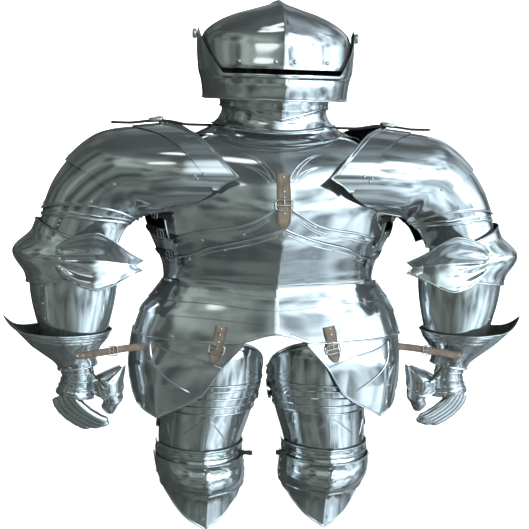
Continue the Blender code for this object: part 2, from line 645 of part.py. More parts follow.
def arms(steel, pauldron_lames):
    """The upper arm, the elbow with its wing, the forearm and the flared cuff of the gauntlet."""
    form, elbow, flare = Form(ARM, 18.0), Form(COUTER, 18.0), Form(CUFF, 18.0)
    under_lame = [(-54, 0.330), (-36, 0.345), (0, 0.384), (90, 0.440), (180, 0.384), (216, 0.345), (234, 0.330)]
    hem = [(-54, 0.490), (0, 0.510), (90, 0.510), (180, 0.510), (234, 0.490)]
    elbow_top = [(-20, 0.500), (90, 0.478), (200, 0.500)]
    elbow_hem = [(-20, 0.590), (90, 0.610), (200, 0.590)]
    cuffs = []
    for side, mirrored in (("left", False), ("right", True)):
        rerebrace = plate(
            f"rerebrace_{side}", form, [-54, 234], under_lame, hem, steel, lift=-LAYER - LAME_RISE,
            lames=(0, 0.4, 1), mirrored=mirrored,
        )
        couter = plate(
            f"couter_{side}", elbow, [-20, 90, 200], elbow_top, elbow_hem, steel, rows=4, mirrored=mirrored
        )
        wing(f"couter_wing_{side}", steel, mirrored)
        vambrace = plate(
            f"vambrace_{side}", form, [-90, 270], 0.572, 0.738, steel, rows=2, ring=True, mirrored=mirrored
        )
        cuff = plate(f"cuff_{side}", flare, [-90, 270], 0.0, 0.110, steel, rows=3, ring=True, mirrored=mirrored)
        riveted(pauldron_lames[mirrored], rerebrace, form, [(90, 0.447)], mirrored)
        riveted(couter, rerebrace, elbow, [(90, 0.490)], mirrored)
        riveted(couter, vambrace, elbow, [(90, 0.600)], mirrored)
        riveted(cuff, vambrace, flare, [(-90, 0.018)], mirrored)
        cuffs.append(cuff)
    return cuffs


def finger_sheet(name, steel, mirrored):
    """The four fingers as one scalloped plate that curls from the knuckles towards the palm."""
    knuckles = np.array([0.4923, -0.010, -0.643])
    across = np.array([0.028, 0.064, -0.018])
    inward = np.array([-1.0, 0.0, 0.0])
    down = np.array([0.0, 0.0, -1.0])
    fingers, bulge = 4, 0.006
    # how far inward, how far down
    path = [(0.000, 0.000), (0.002, 0.020), (0.014, 0.040), (0.036, 0.057), (0.062, 0.067), (0.088, 0.068)]
    steps = fingers * 3
    flat = np.array([
        [knuckles + across * (k / steps - 0.5) + inward * a + down * b for k in range(steps + 1)]
        for a, b in path
    ])
    normal = np.cross(np.gradient(flat, axis=1), np.gradient(flat, axis=0))
    normal /= np.linalg.norm(normal, axis=-1, keepdims=True)
    if normal[0, 0, 0] < 0:
        normal = -normal
    scallop = np.array([abs(math.sin(math.pi * fingers * k / steps)) ** 0.7 for k in range(steps + 1)])
    outer = flat + normal * bulge * scallop[None, :, None]
    wall_of(name, outer, outer - normal * STEEL, False, steel, mirrored)


def hands(steel, leather, cuffs):
    """The gauntlets' hands: a plate over the back, the fingers and the thumb, and the wrist strap."""
    form, thumb = Form(HAND, 20.0), Form(THUMB, 22.0)
    for name, mirrored in sides("hand"):
        back = plate(name, form, [-70, 150], 0.0, 0.080, steel, lames=(0, 0.35, 0.7, 1), mirrored=mirrored)
        riveted(cuffs[mirrored], back, Form(CUFF, 18.0), [(54, 0.1045)], mirrored)
    for name, mirrored in sides("fingers"):
        finger_sheet(name, steel, mirrored)
    for name, mirrored in sides("thumb"):
        plate(name, thumb, [-110, 100], -0.568, -0.684, steel, rows=4, mirrored=mirrored)
    for name, mirrored in sides("wrist_strap"):
        line = [
            (0.458, -0.0929, -0.530), (0.430, -0.0986, -0.527), (0.386, -0.1030, -0.518), (0.345, -0.096, -0.512),
            (0.300, -0.090, -0.508),
        ]
        across = [(0.1, 0.0, 1.0)] * len(line)
        ribbon(name, line, across, 0.016, LEATHER, leather, mirrored)


def legs(steel):
    """Each leg: the cuisse in three parts, the lames over the knee, the poleyn and its pointed lame."""
    form = Form(LEG, 18.0)
    top = [(-108, -0.586), (-90, -0.582), (-72, -0.546), (-54, -0.522), (-36, -0.506), (0, -0.492), (108, -0.500)]
    knee_z, knee_reach, knee_rise = -0.832, 0.042, 0.016

    def knee_cap(turn, at):
        """The dome of the poleyn, fullest in front at mid height."""
        height = np.clip(1 - ((at - knee_z) / knee_reach) ** 2, 0, 1)
        return knee_rise * height * np.clip(np.cos(np.radians(turn)), 0, 1)

    cover_hem = [(-99, -0.874), (0, -0.866), (99, -0.874)]
    shin_hem = [(-99, -0.884), (-72, -0.893), (-54, -0.918), (-36, -0.944), (-18, -0.961), (0, -0.967)]
    shin_hem += [(-turn, z) for turn, z in reversed(shin_hem[:-1])]
    pieces = [
        # name, edge turn, top, hem, rows or lames, lift, relief, height of its upper rivets
        ("cuisse_top", 108, top, -0.604, 3, LAYER, None, None),
        ("cuisse_lames", 108, -0.592, -0.676, (0, 0.33, 0.67, 1), -LAME_RISE, None, -0.598),
        ("cuisse", 108, -0.664, -0.782, 3, -LAYER - LAME_RISE, None, -0.670),
        ("knee_lames", 99, -0.768, -0.812, (0, 0.5, 1), 0.0, None, -0.775),
        ("poleyn", 99, -0.797, cover_hem, 5, LAYER + LAME_RISE, knee_cap, -0.8045),
        ("greave_lame", 99, -0.858, shin_hem, 3, 0.0, None, -0.866),
    ]
    for side, mirrored in (("left", False), ("right", True)):
        above = None
        for name, edge, high, low, rows, lift, relief, rivet in pieces:
            lames = rows if isinstance(rows, tuple) else (0, 1)
            piece = plate(
                f"{name}_{side}", form, [-edge, edge], high, low, steel, rows=rows, lift=lift, lames=lames,
                mirrored=mirrored, relief=relief,
            )
            if above:
                over, under = (piece, above) if lift > last_lift else (above, piece)
                riveted(over, under, form, [(-72, rivet), (72, rivet)], mirrored)
            above, last_lift = piece, lift


def chest_strap(leather):
    """The buckled strap that joins the plackart's point to the breastplate."""
    form = Form(TRUNK, 10.0)
    lift = 2 * LAYER + 3 * SEAT + LEATHER
    plate("chest_strap", form, [-3.2, 0, 3.2], -0.098, -0.214, leather, rows=5, lift=lift, wall=LEATHER)


def main():
    for thing in list(bpy.data.objects):
        bpy.data.objects.remove(thing)
    steel = material_of("steel", (0.62, 0.66, 0.68), 0.22, 1.0)
    leather = material_of("leather", (0.42, 0.30, 0.22), 0.65, 0.0)
    helmet(steel)
    neck(steel)
    plackart, backplate = cuirass(steel)
    chest_strap(leather)
    lowest_lame = fauld(steel, plackart, backplate)
    tassets(steel, leather, lowest_lame)
    pauldron_lames = shoulders(steel, leather)
    cuffs = arms(steel, pauldron_lames)
    hands(steel, leather, cuffs)
    legs(steel)


main()
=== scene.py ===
"""The looks of a knight's field armour: polished plates with turned edges, flutes, rivets and straps.

Every plate is laid on a form, which is a stack of cross-sections of the trunk, head, an arm or a leg.
A place on a form is given by its turn round the section in degrees, 0 at the front and 90 on the outer
side, and by how far it lies along the form. Sizes are in metres.
"""

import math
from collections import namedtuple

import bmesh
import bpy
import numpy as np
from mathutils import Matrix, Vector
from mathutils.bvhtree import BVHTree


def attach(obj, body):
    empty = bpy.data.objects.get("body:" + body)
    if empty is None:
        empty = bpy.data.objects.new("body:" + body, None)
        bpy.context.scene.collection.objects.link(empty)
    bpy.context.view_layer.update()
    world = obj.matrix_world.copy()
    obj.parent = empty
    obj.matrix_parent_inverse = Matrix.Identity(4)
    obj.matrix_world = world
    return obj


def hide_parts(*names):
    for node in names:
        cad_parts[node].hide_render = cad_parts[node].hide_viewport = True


bl_info = {
    "name": "Field armour",
    "version": (1, 0, 0),
    "blender": (4, 5, 0),
    "location": "3D View > Sidebar > Armour",
    "description": "Dresses the frame of a field armour with polished plates, rivets, straps and buckles",
    "category": "Object",
}

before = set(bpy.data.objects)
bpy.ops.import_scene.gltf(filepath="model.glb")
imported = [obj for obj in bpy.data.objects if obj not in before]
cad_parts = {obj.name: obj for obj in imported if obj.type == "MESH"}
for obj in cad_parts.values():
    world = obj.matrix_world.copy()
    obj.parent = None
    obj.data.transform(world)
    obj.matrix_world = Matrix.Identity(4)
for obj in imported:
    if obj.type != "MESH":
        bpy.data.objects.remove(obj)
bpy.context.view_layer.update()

# Plate, as in the frame
STEEL = 0.0015
LEATHER = 0.0030
STRAP_PLAY = 0.0006
SEAM = 0.0017
LAYER = STEEL + SEAM
SEAT = 0.0003
LAME_RISE = 0.0022
PIVOT_Z = 0.213
SIGHT_TOP = 0.137
SIGHT_BOTTOM = 0.125
HELMET_RIM = 0.066

# Turned edges
DENSITY = 0.84
ROLL_WIDTH = 0.0046
ROLL_HEIGHT = 0.0024
ROLL_SHARE = 0.24
ROLL_STOPS = np.array([0.0, 0.06, 0.25, 0.5, 0.75, 0.94, 1.15])
RIM_ROUNDING = 0.0003
# How deep a hollow must be for the full painted shade, and how many times the relief is blurred to find
# hollows
RECESS_DEPTH = 0.00035
RECESS_BLUR = 6
KEEL_WIDTH = 16.0
BAND_POWER = 1.3

# How many steps measure a plate's edges and columns, and how many go round a turned piece
EDGE_STEPS = 721
COLUMN_STEPS = 121
SPIN_STEPS = 32

# Flutes: across and up from the plate, as shares of half the width and of the height
FLUTE_PROFILE = [
    (-1.0, -0.25), (-0.72, 0.05), (-0.42, 0.62), (0.0, 1.0), (0.42, 0.62), (0.72, 0.05), (1.0, -0.25),
]

# How far a line into the armour looks for a plate, and how deep a rivet's foot lies in it
REACH = 0.04
RIVET_SUNK = 0.0003

# What a piece is made of, in the frame's words
BODY_SLOT, HELMET_SLOT, LIMB_SLOT = "polished_steel_body", "polished_steel_helmet", "polished_steel_limbs"
SIDES = (("left", False), ("right", True))

# Steel seen edge on, and the studio that it mirrors at the viewer's left and right
EDGE_TINT = (0.34, 0.35, 0.35, 1)
DARK_SIDE = (0.175, 0.20, 0.172, 1)
BRIGHT_SIDE = (1.45, 1.72, 1.86, 1)

# The backdrop: how wide and far forward the floor reaches, and the bend from the floor up to its top edge
FLOOR_REACH = 60.0
BEND_START = 5.6
BEND_RADIUS = 1.4
BACKDROP_HEIGHT = 6.5

# The camera, in pixels of the photograph and in metres
PICTURE_SIDE = 529.0
FOCAL_LENGTH = 1262.5
ARMOUR_MIDDLE = 269.0
CAMERA_HEIGHT = 0.134
SENSOR_WIDTH = 36.0

Section = namedtuple("Section", "at x y z tilt half front back peak square taper")
Band = namedtuple("Band", "distance height width")


def level(z, half, front, back, y=0.0, peak=2.0, square=2.0, x=0.0):
    """A level cross-section of an upright form, whose place along the form is its height."""
    return Section(z, x, y, z, 0.0, half, front, back, peak, square, 0.0)


def slice_of_arm(at, x, y, z, tilt, half, front, back, taper=0.0, square=2.0):
    """A cross-section of the arm, tilted in the front view: 90 degrees stands upright on the shoulder."""
    return Section(at, x, y, z, tilt, half, front, back, 2.0, square, taper)


HELMET = [
    #      height   half   front   back
    level(0.0600, 0.167, 0.150, 0.232, square=2.2),
    level(0.0670, 0.165, 0.150, 0.218, square=2.2),
    level(0.0800, 0.163, 0.150, 0.200, square=2.2),
    level(0.1000, 0.164, 0.150, 0.184, square=2.2),
    level(SIGHT_TOP, 0.173, 0.150, 0.172, peak=1.9, square=2.2),
    level(0.1600, 0.177, 0.146, 0.168, peak=1.8, square=2.1),
    level(0.1900, 0.178, 0.140, 0.162, peak=1.7),
    level(PIVOT_Z, 0.172, 0.132, 0.154, peak=1.65),
    level(0.2280, 0.160, 0.124, 0.146, peak=1.6),
    level(0.2460, 0.134, 0.110, 0.132, peak=1.6),
    level(0.2620, 0.098, 0.092, 0.114, peak=1.6),
    level(0.2720, 0.055, 0.076, 0.098, peak=1.6),
    level(0.2810, 0.016, 0.054, 0.076, peak=1.6),
    level(0.2890, 0.000, 0.026, 0.046, peak=1.6),
]

VISOR = [
    #      height   half   front   back
    level(0.0600, 0.169, 0.158, 0.150, peak=1.8, square=2.4),
    level(0.0780, 0.170, 0.162, 0.150, peak=1.8, square=2.4),
    level(0.1000, 0.173, 0.164, 0.150, peak=1.8, square=2.3),
    level(0.1200, 0.178, 0.162, 0.150, peak=1.8, square=2.2),
    level(SIGHT_BOTTOM, 0.180, 0.165, 0.150, peak=1.8, square=2.2),
    level(0.1600, 0.184, 0.154, 0.150, peak=1.9, square=2.1),
    level(0.1900, 0.186, 0.146, 0.150),
    level(PIVOT_Z, 0.1855, 0.138, 0.140),
    level(0.2350, 0.1835, 0.130, 0.130),
]

NECK = [
    #      height   half   front   back
    level(-0.0520, 0.236, 0.156, 0.150),
    level(-0.0300, 0.206, 0.140, 0.134),
    level(-0.0120, 0.176, 0.129, 0.124),
    level(0.0040, 0.146, 0.122, 0.114),
    level(0.0200, 0.129, 0.118, 0.104),
    level(0.0420, 0.121, 0.120, 0.098, peak=1.9),
    level(0.0650, 0.123, 0.128, 0.098, peak=1.8),
    level(0.1150, 0.129, 0.134, 0.100, peak=1.8),
]

TRUNK = [
    #      height   half   front   back
    level(-0.7000, 0.324, 0.158, 0.170, y=0.006),
    level(-0.6400, 0.334, 0.166, 0.182, y=0.006),
    level(-0.5600, 0.340, 0.170, 0.190, y=0.006),
    level(-0.4910, 0.333, 0.164, 0.185, y=0.006, peak=1.8),
    level(-0.4300, 0.314, 0.148, 0.160, y=0.006, peak=1.7),
    level(-0.3850, 0.277, 0.132, 0.136, y=0.004, peak=1.6),
    level(-0.3550, 0.260, 0.126, 0.126, y=0.002, peak=1.6),
    level(-0.3300, 0.263, 0.138, 0.130, peak=1.6),
    level(-0.2830, 0.282, 0.166, 0.145, peak=1.6),
    level(-0.2330, 0.302, 0.186, 0.156, peak=1.7),
    level(-0.1800, 0.307, 0.190, 0.160, peak=1.9),
    level(-0.1300, 0.302, 0.180, 0.158),
    level(-0.0800, 0.286, 0.156, 0.146),
    level(-0.0400, 0.262, 0.124, 0.122),
    level(-0.0150, 0.238, 0.088, 0.090),
    level(0.0000, 0.212, 0.052, 0.060),
]

LEG = [
    #      height   half   front   back
    level(-0.9750, 0.086, 0.090, 0.080, x=0.1470, y=0.030, peak=1.7),
    level(-0.9300, 0.088, 0.102, 0.085, x=0.1475, y=0.030, peak=1.7),
    level(-0.8900, 0.092, 0.114, 0.090, x=0.1475, y=0.030, peak=1.7),
    level(-0.8600, 0.098, 0.128, 0.095, x=0.1490, y=0.030, peak=1.7),
    level(-0.8300, 0.102, 0.134, 0.098, x=0.1540, y=0.030, peak=1.7),
    level(-0.8000, 0.103, 0.124, 0.098, x=0.1570, y=0.030, peak=1.7),
    level(-0.7760, 0.105, 0.116, 0.100, x=0.1560, y=0.030, peak=1.7),
    level(-0.7050, 0.115, 0.124, 0.105, x=0.1450, y=0.030, peak=1.8),
    level(-0.6700, 0.119, 0.129, 0.108, x=0.1390, y=0.028, peak=1.9),
    level(-0.6100, 0.122, 0.134, 0.112, x=0.1330, y=0.025),
    level(-0.5400, 0.118, 0.128, 0.108, x=0.1290, y=0.020),
    level(-0.4800, 0.104, 0.104, 0.096, x=0.1260, y=0.018),
]

ARM = [
    #              at     x      y      z     tilt   half  front   back
    slice_of_arm(0.000, 0.100, 0.000, -0.100, 90.0, 0.099, 0.186, 0.160, square=2.6),
    slice_of_arm(0.120, 0.215, 0.000, -0.100, 88.0, 0.099, 0.184, 0.158, square=2.6),
    slice_of_arm(0.200, 0.296, 0.000, -0.108, 80.0, 0.101, 0.172, 0.148, square=2.5),
    slice_of_arm(0.270, 0.350, -0.004, -0.120, 62.0, 0.110, 0.148, 0.130, square=2.2),
    slice_of_arm(0.330, 0.385, -0.010, -0.150, 45.0, 0.115, 0.125, 0.110),
    slice_of_arm(0.390, 0.410, -0.018, -0.181, 28.0, 0.114, 0.106, 0.096),
    slice_of_arm(0.440, 0.430, -0.025, -0.216, 18.0, 0.109, 0.092, 0.086),
    slice_of_arm(0.500, 0.448, -0.032, -0.262, 12.0, 0.108, 0.085, 0.082),
    slice_of_arm(0.560, 0.463, -0.036, -0.315, 5.0, 0.104, 0.083, 0.081),
    slice_of_arm(0.620, 0.464, -0.037, -0.375, 0.0, 0.101, 0.081, 0.079),
    slice_of_arm(0.720, 0.461, -0.036, -0.477, -4.0, 0.080, 0.067, 0.065),
    slice_of_arm(0.800, 0.453, -0.028, -0.557, -10.0, 0.046, 0.042, 0.042),
]

COUTER = [
    #              at     x      y      z     tilt   half  front   back
    slice_of_arm(0.470, 0.440, -0.030, -0.236, 15.0, 0.1110, 0.089, 0.086),
    slice_of_arm(0.500, 0.449, -0.032, -0.262, 11.0, 0.1130, 0.091, 0.088),
    slice_of_arm(0.545, 0.461, -0.034, -0.301, 4.0, 0.1440, 0.100, 0.100),
    slice_of_arm(0.590, 0.466, -0.036, -0.345, 0.0, 0.1110, 0.090, 0.088),
    slice_of_arm(0.615, 0.465, -0.037, -0.370, 0.0, 0.1060, 0.086, 0.084),
]

CUFF = [
    #              at     x      y      z     tilt   half  front   back   taper
    slice_of_arm(0.000, 0.5090, -0.030, -0.4680, 0.0, 0.1380, 0.096, 0.096, 0.55),
    slice_of_arm(0.030, 0.4895, -0.030, -0.4960, 0.0, 0.1085, 0.082, 0.082, 0.40),
    slice_of_arm(0.065, 0.4690, -0.027, -0.5300, -6.0, 0.0690, 0.060, 0.060, 0.20),
    slice_of_arm(0.095, 0.4560, -0.022, -0.5580, -10.0, 0.0480, 0.048, 0.048, 0.05),
    slice_of_arm(0.120, 0.4510, -0.018, -0.5820, -8.0, 0.0450, 0.044, 0.044, 0.00),
]

HAND = [
    #              at     x      y      z     tilt   half  front   back
    slice_of_arm(0.000, 0.4548, -0.0215, -0.5580, -9.0, 0.0402, 0.0400, 0.0400),
    slice_of_arm(0.030, 0.4510, -0.014, -0.5940, -2.0, 0.0380, 0.0380, 0.0360),
    slice_of_arm(0.055, 0.4540, -0.010, -0.6190, 4.0, 0.0400, 0.0400, 0.0380),
    slice_of_arm(0.080, 0.4580, -0.010, -0.6440, 8.0, 0.0420, 0.0420, 0.0380),
]

THUMB = [
    #      height   half   front   back
    level(-0.5680, 0.006, 0.012, 0.012, x=0.3480, y=-0.030),
    level(-0.5850, 0.025, 0.026, 0.020, x=0.3680, y=-0.032),
    level(-0.6050, 0.038, 0.034, 0.026, x=0.3836, y=-0.034),
    level(-0.6300, 0.036, 0.034, 0.026, x=0.3811, y=-0.036),
    level(-0.6500, 0.024, 0.028, 0.022, x=0.3700, y=-0.036),
    level(-0.6680, 0.020, 0.022, 0.018, x=0.3780, y=-0.034),
    level(-0.6840, 0.010, 0.012, 0.010, x=0.3760, y=-0.032),
]


WING = [
    # share of the reach, half height, height of the valley, forward, how far the lip stands forward, lobes
    (0.00, 0.026, -0.296, -0.1313, 0.002, 0.000),
    (0.12, 0.044, -0.297, -0.1363, 0.008, 0.004),
    (0.28, 0.060, -0.299, -0.1393, 0.018, 0.006),
    (0.45, 0.066, -0.300, -0.1413, 0.024, 0.007),
    (0.62, 0.054, -0.303, -0.1383, 0.022, 0.006),
    (0.82, 0.030, -0.309, -0.1313, 0.012, 0.004),
    (1.00, 0.013, -0.314, -0.1213, 0.003, 0.000),
]


def smooth_curve(place, columns, at):
    """Columns of a table at the given places, joined by curves that never overshoot."""
    at = np.clip(np.asarray(at, float), place[0], place[-1])
    gap = np.diff(place)
    slope = np.diff(columns, axis=0) / gap[:, None]
    tangent = np.zeros_like(columns)
    product = slope[:-1] * slope[1:]
    total = slope[:-1] + slope[1:]
    same_way = product > 0
    tangent[1:-1][same_way] = 2 * product[same_way] / total[same_way]
    tangent[0], tangent[-1] = slope[0], slope[-1]
    low = np.clip(np.searchsorted(place, at, side="right") - 1, 0, len(gap) - 1)
    width = gap[low][..., None]
    t = (at[..., None] - place[low][..., None]) / width
    return (
        columns[low] * (1 + 2 * t) * (1 - t) ** 2
        + tangent[low] * width * t * (1 - t) ** 2
        + columns[low + 1] * t**2 * (3 - 2 * t)
        + tangent[low + 1] * width * t**2 * (t - 1)
    )


class Form:
    """A smooth body through a stack of cross-sections."""

    def __init__(self, rows):
        self.table = np.array(sorted(rows), float)

    def section(self, at):
        """All columns of the table at a place along the form."""
        return smooth_curve(self.table[:, 0], self.table[:, 1:], at)

    def point(self, turn, at):
        """The point of the form at a turn and a place along it, and the centre of its section."""
        x, y, z, tilt, half, front, back, peak, square, taper = np.moveaxis(self.section(at), -1, 0)
        turn = np.radians(turn)
        sine, cosine = np.sin(turn), np.cos(turn)
        side = np.sign(sine) * half * np.abs(sine) ** (2 / peak)
        depth = np.where(cosine > 0, front, back) * (1 - taper * np.clip(sine, 0, 1))
        forward = -np.sign(cosine) * depth * np.abs(cosine) ** (2 / square)
        tilt = np.radians(tilt)
        centre = np.stack([x, y, z], -1)
        offset = np.stack([side * np.cos(tilt), forward, side * np.sin(tilt)], -1)
        return centre + offset, centre

    def outward(self, turn, at):
        """The unit normal of the form, pointing away from its inside."""
        nudge_turn, nudge_at = 0.5, 0.0008
        turn, at = np.broadcast_arrays(np.asarray(turn, float), np.asarray(at, float))
        high = np.minimum(at + nudge_at, self.table[-1, 0])
        low = np.maximum(at - nudge_at, self.table[0, 0])
        round_it = self.point(turn + nudge_turn, at)[0] - self.point(turn - nudge_turn, at)[0]
        along_it = self.point(turn, high)[0] - self.point(turn, low)[0]
        place, centre = self.point(turn, at)
        normal = np.cross(round_it, along_it)
        normal[np.abs(place[..., 0] - centre[..., 0]) < 1e-7, 0] = 0
        normal /= np.maximum(np.linalg.norm(normal, axis=-1, keepdims=True), 1e-12)
        crest = self.section(at)[..., 4:5] < 1e-7
        normal = np.where(crest, (0.0, 0.0, 1.0), normal)
        facing = np.sum(normal * (place - centre), axis=-1, keepdims=True)
        return np.where(facing < 0, -normal, normal)

    def lifted(self, turn, at, lift):
        """Points that lie a distance outside the form."""
        return self.point(turn, at)[0] + self.outward(turn, at) * np.asarray(lift)[..., None]


SKULL_FORM, VISOR_FORM, NECK_FORM, TRUNK_FORM = Form(HELMET), Form(VISOR), Form(NECK), Form(TRUNK)
ARM_FORM, ELBOW_FORM, CUFF_FORM, HAND_FORM = Form(ARM), Form(COUTER), Form(CUFF), Form(HAND)
THUMB_FORM, LEG_FORM = Form(THUMB), Form(LEG)


def flip_of(mirrored):
    """What turns a point of the wearer's left side into one of the side that is asked for."""
    return np.array((-1, 1, 1) if mirrored else (1, 1, 1))


def both_ways(edge):
    """An edge given from the front to one side, continued on the other side."""
    return [(-row[0], *row[1:]) for row in reversed(edge) if row[0] > 0] + list(edge)


def corners_of(edge):
    """The turns at which an edge has a sharp corner: rows with a third value."""
    return [] if np.isscalar(edge) else [row[0] for row in edge if len(row) > 2]


def edge_at(edge, turns):
    """How far along the form an edge lies at each turn: one number, or rows of turn and place."""
    turns = np.asarray(turns, float)
    if np.isscalar(edge):
        return np.full(turns.shape, float(edge))
    turns = np.clip(turns, edge[0][0], edge[-1][0])
    ends = [k for k, row in enumerate(edge) if len(row) > 2 or k in (0, len(edge) - 1)]
    result = np.zeros(turns.shape)
    for first, last in zip(ends, ends[1:]):
        rows = np.array([row[:2] for row in edge[first:last + 1]], float)
        inside = (turns >= rows[0, 0]) & (turns <= rows[-1, 0])
        result[inside] = smooth_curve(rows[:, 0], rows[:, 1:], turns[inside])[..., 0]
    return result


def run_of(points, axis=0):
    """The length of a line of points up to each of them."""
    step = np.linalg.norm(np.diff(points, axis=axis), axis=-1)
    return np.concatenate([np.zeros_like(step.take([0], axis)), np.cumsum(step, axis)], axis)


def spread(total, first, last, bands, count):
    """Distances from one edge of a plate to the other, close together over turned edges and bands."""
    width = min(ROLL_WIDTH, total * ROLL_SHARE)
    head = ROLL_STOPS * width if first else np.zeros(1)
    tail = total - (ROLL_STOPS * width if last else np.zeros(1))[::-1]
    even = np.linspace(head[-1], tail[0], count)
    for band in bands:
        where = band.distance if band.distance >= 0 else total + band.distance
        for share in (-1.0, -0.5, 0.0, 0.5, 1.0):
            spot = where + share * band.width
            nearest = np.argmin(np.abs(even[1:-1] - spot)) + 1
            even[nearest] = spot
    return np.concatenate([head, np.sort(even[1:-1]), tail])


def ridge(turn, height, width, power=1.25, middle=0.0):
    """The height of a ridge that runs along a plate at a turn, or round it at a distance."""
    return height * np.clip(1 - np.abs(turn - middle) / width, 0, 1) ** power


def bead(distance):
    """The height of a turned edge at a distance from the rim of a plate."""
    middle = ROLL_WIDTH / 2
    return ROLL_HEIGHT * np.sqrt(np.clip(1 - ((distance - middle) / middle) ** 2, 0, 1))


def blurred(grid, times):
    """A grid of heights, smoothed over its neighbours."""
    for _ in range(times):
        padded = np.pad(grid, 1, mode="edge")
        grid = (padded[:-2, 1:-1] + padded[2:, 1:-1] + padded[1:-1, :-2] + padded[1:-1, 2:] + 2 * grid) / 6
    return grid


def select_only(thing):
    """Makes a thing the only one that is selected."""
    bpy.ops.object.select_all(action="DESELECT")
    thing.select_set(True)
    bpy.context.view_layer.objects.active = thing


def laid_sheet(name, points, recess=None, closed=False):
    """A grid whose corners are laid on rows and columns of points. A closed one is joined at its seam."""
    points = np.asarray(points, float)
    if closed:
        points = np.concatenate([points, points[:, :1]], 1)
        recess = None if recess is None else np.concatenate([recess, recess[:, :1]], 1)
    rows, columns = points.shape[:2]
    bpy.ops.object.select_all(action="DESELECT")
    bpy.ops.mesh.primitive_grid_add(x_subdivisions=columns - 1, y_subdivisions=rows - 1, size=1)
    thing = bpy.context.object
    thing.name = name
    thing.data.name = name
    flat = np.empty(len(thing.data.vertices) * 3)
    thing.data.vertices.foreach_get("co", flat)
    flat = flat.reshape(-1, 3)
    column = np.rint((flat[:, 0] + 0.5) * (columns - 1)).astype(int)
    row = np.rint((flat[:, 1] + 0.5) * (rows - 1)).astype(int)
    thing.data.vertices.foreach_set("co", points[row, column].ravel())
    # The recess attribute: painted shade in the hollows of steel, and darker worn edges on leather
    dark = thing.data.attributes.new("recess", "FLOAT", "POINT")
    if recess is not None:
        dark.data.foreach_set("value", recess[row, column].astype(np.float32))
    thing.data.update()
    bpy.ops.object.mode_set(mode="EDIT")
    bpy.ops.mesh.select_all(action="SELECT")
    bpy.ops.mesh.remove_doubles(threshold=2e-6)
    bpy.ops.object.mode_set(mode="OBJECT")
    return thing


def face_towards(thing, towards):
    """Turns the faces of a sheet over if they point away from the given directions at its corners."""
    mesh = thing.data
    mesh.update()
    facing = sum(
        polygon.normal.dot(Vector(towards(polygon.center))) * polygon.area
        for polygon in mesh.polygons
    )
    if facing < 0:
        mesh.flip_normals()


def walled(thing, thickness, rounding=0.0, segments=2):
    """Gives a sheet its thickness, inwards from its outer face, and rounds the rim."""
    select_only(thing)
    solid = thing.modifiers.new("wall", "SOLIDIFY")
    solid.thickness = thickness
    solid.offset = -1
    solid.use_even_offset = False
    solid.material_offset = 1
    bpy.ops.object.modifier_apply(modifier=solid.name)
    if rounding:
        bevel = thing.modifiers.new("rim", "BEVEL")
        bevel.width = rounding
        bevel.segments = segments
        bevel.limit_method = "ANGLE"
        bevel.angle_limit = math.radians(50)
        bpy.ops.object.modifier_apply(modifier=bevel.name)
    bpy.ops.object.shade_smooth_by_angle(angle=math.radians(38))
    return thing


def finish_piece(thing, material, nodes=(), body="harness"):
    """Gives a piece its material, unless it has some, and its place in the frame."""
    if not thing.data.materials:
        thing.data.materials.append(material)
    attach(thing, body)
    if nodes:
        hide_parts(*nodes)
    return thing


def shell(
    name, form, turns, top, bottom, lift=0.0, nodes=(), slot=BODY_SLOT, body="harness", grid=(90, 36),
    rolled="tbs", relief=None, bands=(), ring=False, mirrored=False, keel=0.0, bent=None, darkened=None,
):
    """A polished plate on a form. rolled names its turned edges: t top, b bottom, s sides.

    relief gives how far its face stands out at a turn and place, bent moves its finished points, and
    darkened gives where it is darker and rougher, on top of the painted shade in its hollows.
    """
    columns, rows = (round(count * DENSITY) for count in grid)
    fine = np.linspace(turns[0], turns[-1], EDGE_STEPS)
    middle = (edge_at(top, fine) + edge_at(bottom, fine)) / 2
    length = run_of(form.point(fine, middle)[0])
    side_roll = "s" in rolled and not ring
    places = spread(length[-1], side_roll, side_roll, (), columns)
    turn = np.interp(places, length, fine)
    for corner in corners_of(top) + corners_of(bottom) + list(turns[1:-1]):
        turn[np.argmin(np.abs(turn - corner))] = corner
    if ring:
        turn, places = turn[:-1], places[:-1]
    start, end = edge_at(top, turn), edge_at(bottom, turn)
    steps = start + (end - start) * np.linspace(0, 1, COLUMN_STEPS)[:, None]
    lengths = run_of(form.point(np.broadcast_to(turn, steps.shape), steps)[0])
    at, from_top = [], []
    for c in range(len(turn)):
        stops = spread(lengths[-1, c], "t" in rolled, "b" in rolled, bands, rows)
        at.append(np.interp(stops, lengths[:, c], steps[:, c]))
        from_top.append(stops)
    at, from_top = np.array(at).T, np.array(from_top).T
    total = lengths[-1][None, :]
    turn = np.broadcast_to(turn, at.shape)
    height = np.zeros(at.shape)
    if relief is not None:
        height += relief(turn, at)
    if keel:
        height += ridge(turn, keel, KEEL_WIDTH)
    for band in bands:
        where = band.distance if band.distance >= 0 else total + band.distance
        height += ridge(from_top, band.height, band.width, BAND_POWER, where)
    beads = [np.zeros(at.shape)]
    if "t" in rolled:
        beads.append(bead(from_top))
    if "b" in rolled:
        beads.append(bead(total - from_top))
    if side_roll:
        beads.append(np.broadcast_to(bead(places), at.shape))
        beads.append(np.broadcast_to(bead(places[-1] - places), at.shape))
    height += np.max(beads, axis=0)
    points = form.lifted(turn, at, lift + height)
    if bent is not None:
        points = bent(points, turn, at)
    # Painted shade in hollows: where the relief lies below its blurred self, the recess mask darkens the
    # steel's colour
    recess = np.clip((blurred(height, RECESS_BLUR) - height) / RECESS_DEPTH, 0, 1)
    # darkened adds to the same mask: the steel is darker and rougher there
    if darkened is not None:
        recess = np.maximum(recess, darkened(turn, at))
    thing = laid_sheet(name, points * flip_of(mirrored), recess, ring)
    centre = form.point(turn, at)[1].mean((0, 1)) * flip_of(mirrored)
    face_towards(thing, lambda spot: spot - Vector(centre))
    return plated(thing, slot, nodes, body)


